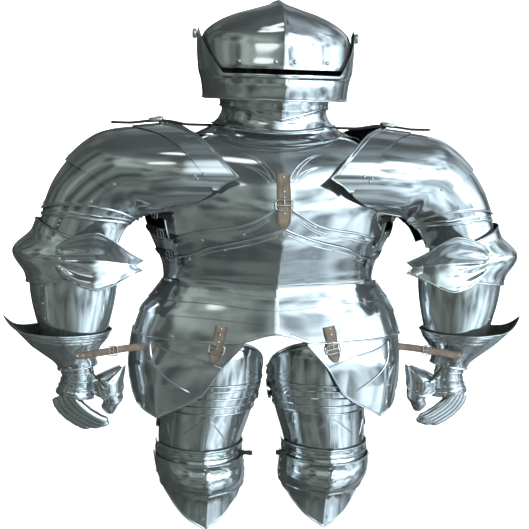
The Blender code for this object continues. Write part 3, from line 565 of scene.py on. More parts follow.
def limb_plate(node, side, form, turns, top, bottom, lift=0.0, name=None, **looks):
    """A plate of the arm or leg on one side, called after its node in the frame or by a name of its own."""
    called = f"{name}_{side}" if name else f"{node}_{side}_plate"
    mirrored = side == "right"
    shell(called, form, turns, top, bottom, lift, [f"{node}_{side}"], LIMB_SLOT, mirrored=mirrored, **looks)


def plated(thing, slot, nodes=(), body="harness", wall=STEEL):
    """Makes a sheet a steel plate, polished outside and black from the forge inside."""
    thing.data.materials.append(steel_material(slot))
    thing.data.materials.append(inside_material())
    walled(thing, wall, RIM_ROUNDING, 1)
    return finish_piece(thing, None, nodes, body)


def surface_of(*names):
    """The faces of some plates, to be met by rays."""
    corners, faces = [], []
    for name in names:
        mesh = bpy.data.objects[name].data
        first = len(corners)
        corners += [vertex.co.copy() for vertex in mesh.vertices]
        faces += [[first + k for k in polygon.vertices] for polygon in mesh.polygons]
    return BVHTree.FromPolygons(corners, faces)


def seat_on(surface, spot, normal):
    """Where a line into the armour first meets a surface, and the direction out of the surface there."""
    spot, normal = Vector(spot), Vector(normal).normalized()
    place, facing, _, _ = surface.ray_cast(spot + normal * REACH, -normal, 2 * REACH)
    if place is None:
        return spot, normal
    return place, (facing if facing.dot(normal) > 0.3 else normal)


def seat_of(form, turn, at, surface, mirrored=False):
    """A point on the plates at a place of a form, and the direction out of them."""
    flip = flip_of(mirrored)
    return seat_on(surface, form.point(turn, at)[0] * flip, form.outward(turn, at) * flip)


def seats_of(form, places, surface, mirrored=False):
    """Seats at rows of turn and place along the form."""
    return [seat_of(form, turn, at, surface, mirrored) for turn, at in places]


def paired(places):
    """Rows of turn and place, each on both sides of the middle."""
    return [(side * turn, at) for turn, at in places for side in (-1, 1)]


def flutes(name, form, paths, surface, width=0.0072, height=0.0026, mirrored=False, slot=BODY_SLOT):
    """Raised lines over a plate, each through places on its form, as one piece bedded in the plate."""
    flip = flip_of(mirrored)
    made = []
    for path in paths:
        rows = np.array(path, float)
        steps = np.linspace(0, len(rows) - 1, 24 * (len(rows) - 1) + 1)
        rows = smooth_curve(np.arange(len(rows)), rows, steps)
        line = form.point(rows[:, 0], rows[:, 1])[0] * flip
        normals = form.outward(rows[:, 0], rows[:, 1]) * flip
        across = np.cross(normals, np.gradient(line, axis=0))
        across /= np.linalg.norm(across, axis=1, keepdims=True)
        run = run_of(line)
        fade = np.clip(np.minimum(run, run[-1] - run) / min(0.022, run[-1] / 3), 0, 1) ** 0.6
        points, recess = [], []
        for spot, normal, side, share in zip(line, normals, across, fade):
            row = []
            for offset, rise in FLUTE_PROFILE:
                place, _ = seat_on(surface, spot + side * offset * width / 2 * (0.35 + 0.65 * share), normal)
                row.append(np.array(place) + normal * (height * rise * share - 0.0001))
            points.append(row)
            # Painted shade along both sides of each flute, where it meets the plate
            recess.append([1.0, 0.8, 0.1, 0.0, 0.1, 0.8, 1.0])
        made.append(laid_sheet(f"{name}_{len(made) + 1}", points, np.array(recess)))
        face_towards(made[-1], lambda spot, way=Vector(normals.mean(0)): way)
    select_only(made[0])
    for thing in made:
        thing.select_set(True)
    if len(made) > 1:
        bpy.ops.object.join()
    thing = bpy.context.object
    thing.name = name
    thing.data.shade_smooth()
    return finish_piece(thing, steel_material(slot))


def rivet_head(radius):
    """A domed rivet head that stands on the XY plane."""
    bpy.ops.object.select_all(action="DESELECT")
    bpy.ops.mesh.primitive_uv_sphere_add(segments=12, ring_count=8, radius=radius)
    thing = bpy.context.object
    bpy.ops.object.mode_set(mode="EDIT")
    bpy.ops.mesh.select_all(action="SELECT")
    bpy.ops.mesh.bisect(plane_co=(0, 0, 0), plane_no=(0, 0, 1), clear_inner=True, use_fill=True)
    bpy.ops.mesh.select_all(action="SELECT")
    bpy.ops.transform.resize(value=(1, 1, 0.62))
    bpy.ops.object.mode_set(mode="OBJECT")
    return thing


def copies_of(name, pattern, seats):
    """One mesh with a copy of a pattern on each seat, its Z axis along the seat's direction."""
    mesh = bmesh.new()
    for spot, normal in seats:
        first = len(mesh.verts)
        mesh.from_mesh(pattern.data)
        mesh.verts.ensure_lookup_table()
        facing = normal.to_track_quat("Z", "Y").to_matrix().to_4x4()
        place = Matrix.Translation(spot - normal * RIVET_SUNK) @ facing
        for vertex in mesh.verts[first:]:
            vertex.co = place @ vertex.co
    data = bpy.data.meshes.new(name)
    mesh.to_mesh(data)
    mesh.free()
    data.attributes.new("recess", "FLOAT", "POINT")
    thing = bpy.data.objects.new(name, data)
    bpy.context.scene.collection.objects.link(thing)
    bpy.data.objects.remove(pattern)
    select_only(thing)
    bpy.ops.object.shade_smooth_by_angle(angle=math.radians(45))
    return thing


def rivets(name, seats, radius=0.0032, body="harness"):
    """Domed rivets as one piece."""
    thing = copies_of(name, rivet_head(radius), seats)
    return finish_piece(thing, rivet_material(), (), body)


def new_material(name, colour, roughness, metallic):
    """A material whose shader has plain values, and its node tree."""
    material = bpy.data.materials.new(name)
    material.use_nodes = True
    tree = material.node_tree
    shader = tree.nodes["Principled BSDF"]
    shader.inputs["Base Color"].default_value = (*colour, 1)
    shader.inputs["Roughness"].default_value = roughness
    shader.inputs["Metallic"].default_value = metallic
    material.diffuse_color = (*colour, 1)
    return material, tree, shader


def add_node(tree, kind, settings=(), **inputs):
    """A shader node with its settings and inputs: an input that is a socket is linked, another is set."""
    node = tree.nodes.new(kind)
    for key, value in dict(settings).items():
        setattr(node, key, value)
    for key, value in inputs.items():
        socket = node.inputs[int(key[1:])] if key[1:].isdigit() else node.inputs[key.replace("_", " ")]
        if isinstance(value, bpy.types.NodeSocket):
            tree.links.new(value, socket)
        else:
            socket.default_value = value
    return node


def noise_of(tree, vector, scale, detail=3.0, roughness=0.5):
    """Noise over a piece."""
    node = add_node(
        tree, "ShaderNodeTexNoise", Vector=vector, Scale=scale, Detail=detail, Roughness=roughness,
    )
    return node.outputs[0]


def between(tree, value, low, high, start=0.0, end=1.0):
    """A value moved from one range to another and kept inside it."""
    node = add_node(tree, "ShaderNodeMapRange", {"clamp": True}, i0=value, i1=start, i2=end, i3=low, i4=high)
    return node.outputs[0]


def mixed(tree, share, first, second):
    """A colour between two others."""
    node = add_node(tree, "ShaderNodeMix", {"data_type": "RGBA"}, i0=share, i6=first, i7=second)
    return node.outputs[2]


def product_of(tree, first, second):
    """Two values multiplied."""
    return add_node(tree, "ShaderNodeMath", {"operation": "MULTIPLY"}, i0=first, i1=second).outputs[0]


def steel_material(slot):
    """Polished plate: faint hammer waves, and painted shade, with rougher steel, in the hollows beside
    flutes and turned edges.
    """
    if slot in bpy.data.materials:
        return bpy.data.materials[slot]
    look = bpy.context.scene.armour_look
    steel = tuple(look.steel)
    material, tree, shader = new_material(slot, steel, look.polish, 1.0)
    where = add_node(tree, "ShaderNodeTexCoord").outputs["Object"]
    recess = add_node(tree, "ShaderNodeAttribute", {"attribute_name": "recess"}).outputs["Fac"]
    cloudy = noise_of(tree, where, 9.0, 4.0, 0.6)
    worn = mixed(
        tree, between(tree, cloudy, 0.0, 1.0, 0.35, 0.7), (*[c * 0.86 for c in steel], 1), (*steel, 1),
    )
    # Painted shade: the recess mask darkens the colour towards the painted shade colour in hollows, and
    # roughens the steel there
    painted_recess_shade = between(tree, recess, 0.0, 0.85, 0.15, 1.0)
    tree.links.new(mixed(tree, painted_recess_shade, worn, (*look.painted_recess_shade, 1)), shader.inputs["Base Color"])
    smears = noise_of(tree, where, 34.0, 3.0, 0.6)
    rough = between(tree, smears, look.polish * 0.78, look.polish * 1.35, 0.3, 0.75)
    rougher = add_node(
        tree, "ShaderNodeMath", {"operation": "ADD"}, i0=rough, i1=product_of(tree, painted_recess_shade, 0.25),
    )
    tree.links.new(rougher.outputs[0], shader.inputs["Roughness"])
    waves = add_node(
        tree, "ShaderNodeBump", Strength=look.hammering, Distance=0.0018,
        Height=noise_of(tree, where, 11.0, 1.5, 0.4),
    )
    tree.links.new(waves.outputs[0], shader.inputs["Normal"])
    shader.inputs["Specular Tint"].default_value = EDGE_TINT
    return material


def inside_material():
    """The inside of the plates, black from the forge."""
    if "forge_black" in bpy.data.materials:
        return bpy.data.materials["forge_black"]
    material, tree, shader = new_material("forge_black", (0.05, 0.05, 0.047), 0.55, 0.9)
    where = add_node(tree, "ShaderNodeTexCoord").outputs["Object"]
    scale = noise_of(tree, where, 60.0, 4.0, 0.6)
    colour = mixed(
        tree, between(tree, scale, 0.0, 1.0, 0.35, 0.7), (0.045, 0.044, 0.041, 1), (0.11, 0.108, 0.102, 1),
    )
    tree.links.new(colour, shader.inputs["Base Color"])
    return material


def rivet_material():
    """The brighter steel of rivets, buckles and rings."""
    if "rivet_steel" in bpy.data.materials:
        return bpy.data.materials["rivet_steel"]
    material, tree, shader = new_material("rivet_steel", (0.74, 0.75, 0.74), 0.28, 0.8)
    where = add_node(tree, "ShaderNodeTexCoord").outputs["Object"]
    spots = noise_of(tree, where, 220.0, 3.0, 0.6)
    colour = mixed(
        tree, between(tree, spots, 0.0, 1.0, 0.4, 0.75), (0.48, 0.485, 0.48, 1), (0.78, 0.79, 0.785, 1),
    )
    tree.links.new(colour, shader.inputs["Base Color"])
    tree.links.new(between(tree, spots, 0.34, 0.14, 0.3, 0.7), shader.inputs["Roughness"])
    return material


def leather_material(name="strap_leather", dark=False):
    """Undyed or blackened strap leather with grain, darker where it is handled."""
    if name in bpy.data.materials:
        return bpy.data.materials[name]
    look = bpy.context.scene.armour_look
    base = tuple(look.dark_leather if dark else look.leather)
    material, tree, shader = new_material(name, base, 0.62, 0.0)
    where = add_node(tree, "ShaderNodeTexCoord").outputs["Object"]
    patches = noise_of(tree, where, 55.0, 5.0, 0.62)
    pale = tuple(min(1.0, c * 1.35) for c in base)
    deep = tuple(c * 0.55 for c in base)
    colour = mixed(tree, between(tree, patches, 0.0, 1.0, 0.3, 0.7), (*deep, 1), (*pale, 1))
    grain = add_node(tree, "ShaderNodeTexVoronoi", Vector=where, Scale=1300.0).outputs["Distance"]
    pores = mixed(tree, between(tree, grain, 0.0, 0.35, 0.2, 0.9), colour, (*deep, 1))
    edge = add_node(tree, "ShaderNodeAttribute", {"attribute_name": "recess"}).outputs["Fac"]
    worn = mixed(tree, between(tree, edge, 0.0, 0.7), pores, (*[c * 0.4 for c in base], 1))
    tree.links.new(worn, shader.inputs["Base Color"])
    tree.links.new(between(tree, patches, 0.5, 0.78), shader.inputs["Roughness"])
    bump = add_node(tree, "ShaderNodeBump", Strength=0.5, Distance=0.0004, Height=grain)
    tree.links.new(bump.outputs[0], shader.inputs["Normal"])
    return material


class ARMOUR_PG_look(bpy.types.PropertyGroup):
    """The colours and finish of the armour."""

    steel: bpy.props.FloatVectorProperty(
        name="Steel", description="Colour of the polished plate", subtype="COLOR", size=3,
        default=(0.37, 0.382, 0.372),
    )
    # The colour of the painted shade in the hollows of the steel
    painted_recess_shade: bpy.props.FloatVectorProperty(
        name="Grime", description="Colour of the steel beside flutes and turned edges", subtype="COLOR",
        size=3, default=(0.030, 0.031, 0.029),
    )
    leather: bpy.props.FloatVectorProperty(
        name="Leather", description="Colour of the outer straps", subtype="COLOR", size=3,
        default=(0.240, 0.180, 0.135),
    )
    dark_leather: bpy.props.FloatVectorProperty(
        name="Dark leather", description="Colour of the inner straps", subtype="COLOR", size=3,
        default=(0.030, 0.027, 0.024),
    )
    polish: bpy.props.FloatProperty(
        name="Roughness", description="Roughness of the polished plate", default=0.20, min=0.02, max=0.6
    )
    hammering: bpy.props.FloatProperty(
        name="Hammering", description="Depth of the faint waves that the hammer leaves", default=0.30,
        min=0.0, max=1.0,
    )


class ARMOUR_PG_stage(bpy.types.PropertyGroup):
    """The floor, the lights and the camera."""

    floor_height: bpy.props.FloatProperty(
        name="Floor height", description="Height of the floor under the armour", default=-1.02, unit="LENGTH"
    )
    paleness: bpy.props.FloatProperty(
        name="Paleness", description="How pale the floor and backdrop are", default=0.90, min=0.0, max=1.0
    )
    camera_distance: bpy.props.FloatProperty(
        name="Camera distance", description="Distance from the origin to the camera", default=3.0,
        unit="LENGTH",
    )
    camera_turn: bpy.props.FloatProperty(
        name="Camera turn", description="How far to the armour's right the camera stands",
        default=math.radians(-8.6), subtype="ANGLE",
    )
    camera_pitch: bpy.props.FloatProperty(
        name="Camera pitch", description="How far down the camera looks", default=math.radians(8.75),
        subtype="ANGLE",
    )
    camera_roll: bpy.props.FloatProperty(
        name="Camera roll", description="Tilt of the picture", default=math.radians(1.8), subtype="ANGLE"
    )


def build_skull():
    """The skull of the sallet with its keel, tail and face opening."""
    face = both_ways([
        (0, SIGHT_TOP), (54, SIGHT_TOP), (60, 0.131), (64, 0.078), (68, HELMET_RIM), (110, 0.064),
        (180, 0.060),
    ])

    def keel(turn, at):
        """The keel from the brow over the crest to the tail, highest on the crest."""
        front = ridge(turn, 0.0050, 20.0, 1.2)
        behind = ridge(np.abs(turn), 0.0035, 18.0, 1.3, 180)
        fading = np.clip((0.285 - at) / 0.03, 0, 1)
        sideways = np.abs(SKULL_FORM.point(turn, at)[0][..., 0])
        comb = ridge(sideways, 0.0070, 0.10, 1.0) * np.clip((at - 0.225) / 0.05, 0, 1)
        return (front + behind) * fading + comb

    shell(
        "skull_plate", SKULL_FORM, [-180, 0, 180], 0.2890, face, nodes=["skull"], slot=HELMET_SLOT,
        grid=(150, 62), rolled="", relief=keel, ring=True,
    )
    surface = surface_of("skull_plate")
    places = [(turn, 0.1525) for turn in (-37, -8.5, 8.5, 37)]
    places += paired([(turn, 0.083) for turn in (96, 118, 140, 160)])
    seats = seats_of(SKULL_FORM, places, surface)
    rivets("skull_rivets", seats, 0.0047)


def build_visor():
    """The visor below the sight, hung from the two pivots."""
    top = both_ways([
        (0, SIGHT_BOTTOM), (49, SIGHT_BOTTOM), (51, SIGHT_BOTTOM + 0.0015, 1), (72, 0.198), (82, 0.222),
        (90, 0.229), (98, 0.218),
    ])

    def shape(turn, at):
        """A keel, and a bulge that turns out below the sight."""
        edge = ridge(at, 0.0052, 0.0050, 0.7, 0.1195) * np.clip((66 - np.abs(turn)) / 12, 0, 1)
        return edge + ridge(turn, 0.0060, 16.0, 1.2) * np.clip((SIGHT_BOTTOM - at) / 0.01, 0, 1)

    shell(
        "visor_plate", VISOR_FORM, [-98, 0, 98], top, HELMET_RIM, nodes=["visor"], slot=HELMET_SLOT,
        body="visor", grid=(150, 44), rolled="b", relief=shape,
    )
    surface = surface_of("visor_plate")
    seats = seats_of(VISOR_FORM, paired(((80, 0.150), (80, 0.136))), surface)
    rivets("visor_rivets", seats, 0.0030, "visor")
    for name, side in (("left", 1), ("right", -1)):
        # a ring round a sunk middle: radius and height
        profile = [
            (0.0, 0.0040), (0.0055, 0.0040), (0.0066, 0.0085), (0.0090, 0.0100), (0.0115, 0.0085),
            (0.0122, 0.0050), (0.0105, 0.0004), (0.0, 0.0004),
        ]
        spot = Vector((side * 0.1864, 0, PIVOT_Z))
        turned = turned_piece(f"pivot_head_{name}", profile, spot, Vector((side, 0, 0)))
        finish_piece(turned, rivet_material(), [f"pivot_{name}"])


def turned_piece(name, profile, spot, axis):
    """A turned piece: a profile of radius and height, spun round an axis. It starts and ends at radius 0."""
    bpy.ops.object.select_all(action="DESELECT")
    bpy.ops.mesh.primitive_circle_add(vertices=3, radius=0.01)
    thing = bpy.context.object
    thing.name = name
    mesh = bmesh.new()
    line = [mesh.verts.new((radius, 0, height)) for radius, height in profile]
    edges = [mesh.edges.new(pair) for pair in zip(line, line[1:])]
    bmesh.ops.spin(
        mesh, geom=line + edges, cent=(0, 0, 0), axis=(0, 0, 1), angle=2 * math.pi, steps=SPIN_STEPS,
        use_merge=True,
    )
    bmesh.ops.remove_doubles(mesh, verts=mesh.verts, dist=1e-6)
    bmesh.ops.recalc_face_normals(mesh, faces=mesh.faces)
    mesh.transform(Matrix.Translation(spot) @ axis.to_track_quat("Z", "Y").to_matrix().to_4x4())
    mesh.to_mesh(thing.data)
    mesh.free()
    thing.data.attributes.new("recess", "FLOAT", "POINT")
    select_only(thing)
    bpy.ops.object.shade_smooth_by_angle(angle=math.radians(40))
    return thing


def build_neck():
    """The bevor over the chin, the collar and the gorget."""
    chin = both_ways([(0, 0.018, 1), (60, 0.044), (105, 0.050)])
    shell(
        "bevor_plate", NECK_FORM, [-105, 0, 105], 0.115, chin, 2 * LAYER, ["bevor"], grid=(110, 30),
        rolled="b", keel=0.005,
    )
    low = both_ways([(0, -0.008), (60, 0.004), (180, 0.004)])
    shell(
        "collar_plate", NECK_FORM, [-180, 180], 0.060, low, LAYER, ["collar"], grid=(130, 18), rolled="tb",
        ring=True,
    )
    bib = both_ways([
        (0, -0.034), (30, -0.026), (60, -0.014), (75, -0.020), (105, -0.020), (120, -0.014), (150, -0.026),
        (180, -0.034),
    ])

    def laid_on_chest(points, turn, at):
        """The bib's hem leans back until it nearly touches the breastplate."""
        x, y, z = np.moveaxis(points, -1, 0)
        chest = TRUNK_FORM.section(np.minimum(z, -0.001))
        half, front, peak, square = chest[..., 4], chest[..., 5], chest[..., 7], chest[..., 8]
        sine = np.clip(np.abs(x) / np.maximum(half, 0.05), 0, 1) ** (peak / 2)
        face = -front * np.sqrt(1 - np.clip(sine, 0, 1) ** 2) ** (2 / square) - 0.0042
        share = np.clip((0.014 - at) / 0.034, 0, 1) ** 1.3 * np.clip((85 - np.abs(turn)) / 35, 0, 1)
        return np.stack([x, np.where(y < face, y + (face - y) * share, y), z], -1)

    shell(
        "gorget_plate", NECK_FORM, [-180, 180], 0.026, bib, 0.0, ["gorget"], grid=(130, 26), rolled="tb",
        ring=True, bent=laid_on_chest,
    )
    surface = surface_of("bevor_plate", "collar_plate", "gorget_plate")
    places = [(-10, 0.058), (-62, 0.052), (62, 0.052)] + paired([(62, 0.012), (62, -0.006)])
    seats = seats_of(NECK_FORM, places, surface)
    rivets("neck_rivets", seats, 0.0030)


def trunk_keel(turn, at):
    """The ridge down the middle of the chest, strongest at the waist."""
    depth = 0.0030 + 0.0045 * np.clip((-0.14 - at) / 0.12, 0, 1)
    return ridge(turn, depth, 20.0)


def build_breastplate():
    """The breastplate, with two pairs of curved flutes that spring from the strap."""
    neckline = both_ways([(0, -0.010), (40, -0.017), (50, -0.037), (60, -0.160)])
    shell(
        "breastplate_plate", TRUNK_FORM, [-60, 0, 60], neckline, -0.300, 0.0, ["breastplate"],
        grid=(130, 80), rolled="ts", relief=trunk_keel,
    )
    surface = surface_of("breastplate_plate")
    paths = []
    for side in (-1, 1):
        for turn in (3.0, 5.2):
            paths.append([
                (side * turn, -0.109), (side * (turn + 1.0), -0.098), (side * (turn + 4.5), -0.078),
                (side * (turn + 9.5), -0.062), (side * (turn + 15), -0.053),
            ])
            paths.append([
                (side * (turn + 1), -0.116), (side * (turn + 2.6), -0.106), (side * (turn + 7), -0.090),
                (side * (turn + 14.5), -0.078),
            ])
    paths.append([(-6.5, -0.114), (0, -0.1135), (8.5, -0.114)])
    flutes("breastplate_flutes", TRUNK_FORM, paths, surface, 0.0046, 0.0020)
    seats = seats_of(TRUNK_FORM, paired(((47, -0.060), (54, -0.200))), surface)
    rivets("breastplate_rivets", seats)


def build_plackarts():
    """The two plates over the lower chest. Their edges rise to a point, with a flute beside each edge."""
    upper = [(0, 0.0, 1), (7, 0.017), (16, 0.041), (22, 0.051), (42, 0.068), (60, 0.095)]
    lower = [(0, 0.0, 1), (3, 0.006), (19, 0.031), (37, 0.052), (52, 0.078), (60, 0.084)]
    hem = both_ways([(0, -0.386), (40, -0.372), (60, -0.368)])
    for name, peak, rows, low, lift in (
        ("upper", -0.163, upper, -0.318, LAYER), ("lower", -0.211, lower, hem, 2 * LAYER + SEAT),
    ):
        plate = f"plackart_{name}_plate"
        top = [(turn, peak - drop, *corner) for turn, drop, *corner in rows]
        shell(
            plate, TRUNK_FORM, [-60, 0, 60], both_ways(top), low, lift, [f"plackart_{name}"], grid=(130, 40),
            rolled="t", relief=trunk_keel,
        )
        surface = surface_of(plate)
        paths = []
        for side in (-1, 1):
            for below in (0.013, 0.018)[: 2 if name == "upper" else 1]:
                paths.append([(side * row[0], row[1] - below) for row in top[1:]])
        flutes(f"plackart_{name}_flutes", TRUNK_FORM, paths, surface, 0.0052, 0.0022)
    surface = surface_of("plackart_upper_plate", "plackart_lower_plate")
    places = [(20, -0.232), (40, -0.250), (56, -0.268), (30, -0.268), (50, -0.296)]
    seats = seats_of(TRUNK_FORM, paired(places), surface)
    rivets("plackart_rivets", seats, 0.0030)


def build_backplate():
    """The backplate with its shoulder edges, and the stepped culet below it."""
    rows = [
        (50, -0.232), (70, -0.234), (90, -0.215), (100, -0.150), (110, -0.050), (120, -0.016), (180, -0.024),
    ]
    top = rows + [(360 - row[0], *row[1:]) for row in reversed(rows[:-1])]

    # Darker and rougher towards its front edges at the sides, through the mask of the painted shade
    shell(
        "backplate_plate", TRUNK_FORM, [50, 180, 310], top, -0.366, -2 * LAYER, ["backplate"],
        grid=(140, 60), rolled="tb", relief=lambda turn, at: ridge(turn, 0.004, 14.0, middle=180),
        darkened=lambda turn, at: np.clip((78 - np.minimum(turn, 360 - turn)) / 12, 0, 0.9),
    )
    surface = surface_of("backplate_plate")
    fans = [
        [
            (180 + side * 2, -0.345), (180 + side * (2 + spread_to * 0.4), -0.260),
            (180 + side * spread_to, -0.120),
        ]
        for side in (-1, 1) for spread_to in (14, 30, 48)
    ]
    flutes("backplate_flutes", TRUNK_FORM, fans, surface, 0.0070, 0.0024)
    stops = [-0.358, -0.405, -0.438, -0.492]
    for k, (high, low) in enumerate(zip(stops, stops[1:])):
        last = k == 2
        shell(
            f"culet_lame_{k + 1}", TRUNK_FORM, [70, 290], high + (0.006 if k else 0.0), low,
            -4 * LAYER + 0.0016 - k * 0.0014, ["culet"], grid=(110, 12), rolled="b" if last else "",
            bands=() if last else [Band(-0.003, 0.0008, 0.0022)],
        )


def build_fauld():
    """The three lames round the front of the hips."""
    lames = [
        ("1", -0.358, [(0, -0.416), (40, -0.404), (80, -0.404)], LAYER, ""),
        ("2", -0.392, [(0, -0.446), (40, -0.436), (80, -0.436)], 0.0, ""),
        ("3", -0.422, [(0, -0.470), (7, -0.475), (14, -0.487), (20, -0.492), (80, -0.492)], -LAYER, "b"),
    ]
    for name, top, hem, lift, rolled in lames:
        bands = [] if rolled else [Band(-0.0032, 0.0007, 0.0024)]
        shell(
            f"fauld_{name}_plate", TRUNK_FORM, [-80, 0, 80], top, both_ways(hem), lift, [f"fauld_{name}"],
            grid=(130, 13), rolled=rolled + "s", relief=lambda turn, at: ridge(turn, 0.004, 20.0),
            bands=bands,
        )
    surface = surface_of("fauld_1_plate", "fauld_2_plate", "fauld_3_plate")
    places = [(74, hem[-1][1] + 0.012) for _, _, hem, _, _ in lames] + [(48, -0.482)]
    seats = seats_of(TRUNK_FORM, paired(places), surface)
    rivets("fauld_rivets", seats, 0.0028)


def build_tassets():
    """The pointed plates in front of the thighs, with flutes that fan from the upper outer corner."""
    rows = [(15, -0.494), (22, -0.553), (31, -0.622), (54, -0.681, 1), (75, -0.655), (90, -0.575)]

    def fold(turn, at):
        """The ridge down to the point."""
        depth = np.clip((-0.50 - at) / 0.10, 0, 1)
        return ridge(turn, 0.012 * depth, 22.0, 1.0, 54.0)

    apex = (62, -0.500)
    paths = [
        [apex, (50, -0.515), (36, -0.527), (22, -0.548)],
        [apex, (58, -0.535), (49, -0.575), (36, -0.612)],
        [apex, (61, -0.550), (55, -0.610), (52, -0.655)],
        [apex, (68, -0.540), (76, -0.585), (80, -0.620)],
    ]
    for side, mirrored in SIDES:
        shell(
            f"tasset_{side}_plate", TRUNK_FORM, [15, 90], -0.474, rows, -2 * LAYER - SEAM,
            [f"tasset_{side}"], grid=(84, 60), rolled="bs", relief=fold, mirrored=mirrored,
        )
        surface = surface_of(f"tasset_{side}_plate")
        flutes(f"tasset_{side}_flutes", TRUNK_FORM, paths[:2], surface, 0.0078, 0.0034, mirrored)


def build_pauldrons():
    """The shoulder plates: the front with its raised double edge, the cap and the lame."""
    neck_edge = [
        (-18, 0.052), (-9, 0.032), (-2, 0.006), (0, 0.003, 1), (3, 0.010), (54, 0.095), (90, 0.150),
        (126, 0.095), (180, 0.020), (198, 0.056),
    ]
    seam = [(-18, 0.060), (0, 0.085), (54, 0.165), (90, 0.215), (126, 0.165), (180, 0.095), (198, 0.060)]
    cap_top = [(-54, 0.150), (-36, 0.094), (-18, 0.060), (0, 0.062), (54, 0.145), (90, 0.195), (126, 0.145)]
    cap_top += [(180, 0.072), (198, 0.062), (216, 0.094), (234, 0.150)]
    cap_hem = [(-54, 0.300), (0, 0.318), (90, 0.350), (180, 0.318), (234, 0.300)]
    lame_hem = [(-54, 0.330), (-36, 0.355), (0, 0.396), (45, 0.430), (90, 0.455), (135, 0.430), (180, 0.396)]
    lame_hem += [(216, 0.355), (234, 0.330)]
    lame_top = [(-54, 0.282), (0, 0.298), (90, 0.330), (180, 0.298), (234, 0.282)]
    cap_lift = LAYER + SEAM
    front_lift = cap_lift + LAYER
    seats = []
    for side, mirrored in SIDES:
        limb_plate(
            "pauldron_front", side, ARM_FORM, [-18, 198], neck_edge, seam, front_lift, grid=(110, 34),
            rolled="ts",
        )
        surface = surface_of(f"pauldron_front_{side}_plate")
        inner_edge = [(turn, at + 0.0125) for turn, at, *_ in neck_edge[4:-2]]
        flutes(
            f"pauldron_{side}_flutes", ARM_FORM, [inner_edge], surface, 0.0056, 0.0028, mirrored, LIMB_SLOT,
        )
        limb_plate(
            "pauldron_cap", side, ARM_FORM, [-54, 234], cap_top, cap_hem, cap_lift, grid=(120, 56),
            rolled="s", bands=[Band(-0.0032, 0.0006, 0.0024)],
        )
        limb_plate(
            "pauldron_lame", side, ARM_FORM, [-54, 234], lame_top, lame_hem, 0.0, grid=(110, 36),
            rolled="bs",
        )
        surface = surface_of(*[f"pauldron_{piece}_{side}_plate" for piece in ("front", "cap", "lame")])
        places = [
            (2, 0.085), (-4, 0.100), (-1, 0.105), (4, 0.300), (90, 0.338), (10, 0.386), (90, 0.440),
            (150, 0.420),
        ]
        seats += seats_of(ARM_FORM, places, surface, mirrored)
    rivets("pauldron_rivets", seats, 0.0032)


def build_upper_arms():
    """The rerebraces, each two lames with double lines round them."""
    top = [(-54, 0.330), (-36, 0.345), (0, 0.384), (90, 0.440), (180, 0.384), (216, 0.345), (234, 0.330)]
    seats = []
    for side, mirrored in SIDES:
        middle = [(turn, at + (0.500 - at) * 0.45) for turn, at in top]
        low = [(-54, 0.490), (0, 0.510), (234, 0.490)]
        lift = -LAYER - LAME_RISE
        limb_plate(
            "rerebrace", side, ARM_FORM, [-54, 234], top, middle, lift + 0.0012, grid=(90, 22), rolled="b",
            bands=[Band(-0.012, 0.0011, 0.0028)], name="rerebrace_upper",
        )
        under = [(turn, at - 0.008) for turn, at in middle]
        limb_plate(
            "rerebrace", side, ARM_FORM, [-54, 234], under, low, lift - 0.0006, grid=(90, 22), rolled="bs",
            name="rerebrace_lower",
        )
        surface = surface_of(f"rerebrace_upper_{side}", f"rerebrace_lower_{side}")
        seats += seats_of(ARM_FORM, ((36, 0.462), (36, 0.474), (120, 0.466)), surface, mirrored)
    rivets("rerebrace_rivets", seats, 0.0026)


def build_couters():
    """The elbows: the pointed cop, and the large wing of two lobes with creases that fan from its root."""
    root_x, reach, notch = 0.504, 0.200, 0.018
    top = [(-20, 0.500), (90, 0.478), (200, 0.500)]
    hem = [(-20, 0.590), (90, 0.610), (200, 0.590)]
    table = np.array(WING)
    seats = []
    for side, mirrored in SIDES:
        limb_plate("couter", side, ELBOW_FORM, [-20, 90, 200], top, hem, 0.0, grid=(84, 44), rolled="tbs")
        share = np.linspace(0, 1, 84)
        t = np.sort(np.concatenate([np.linspace(-1, 1, 61), [-0.985, 0.985, -0.97, 0.97, -0.95, 0.95]]))
        columns = smooth_curve(table[:, 0], table[:, 1:], share)
        half, valley, forward, lip, lobe = (columns[:, k][:, None] for k in range(5))
        ends_in = notch * np.clip((share - 0.8) / 0.2, 0, 1)[:, None]
        t, share = t[None, :], share[:, None]
        fans = 0.0045 * np.sin(np.abs(t) * 3.1 * math.pi)
        fans = fans * np.clip(1 - share / 0.62, 0, 1) * np.clip(share / 0.10, 0, 1)
        from_rim = (1 - np.abs(t)) * half
        rim = bead(from_rim) * np.clip(share / 0.1, 0, 1)
        height = lobe * np.sin(math.pi * np.clip(np.abs(t), 0, 1)) + fans + rim
        points = np.stack(np.broadcast_arrays(
            root_x - reach * share + ends_in * (1 - np.abs(t)),
            forward - lip * t * t - height,
            valley + t * half,
        ), -1)
        # Painted shade in the hollows and creases of the wing
        recess = np.clip((blurred(height + 0 * points[..., 0], 6) - height) / 0.0012, 0, 1)
        wing = laid_sheet(f"couter_wing_{side}_plate", points * flip_of(mirrored), recess)
        face_towards(wing, lambda spot: Vector((0, -1, 0)))
        plated(wing, LIMB_SLOT, [f"couter_wing_{side}"])
        surface = surface_of(f"couter_wing_{side}_plate")
        flip = flip_of(mirrored)[0]
        for z in (-0.279, -0.297, -0.315):
            seats.append(seat_on(surface, (flip * 0.4965, -0.1340, z), (0, -1, 0)))
    rivets("couter_rivets", seats, 0.0034)


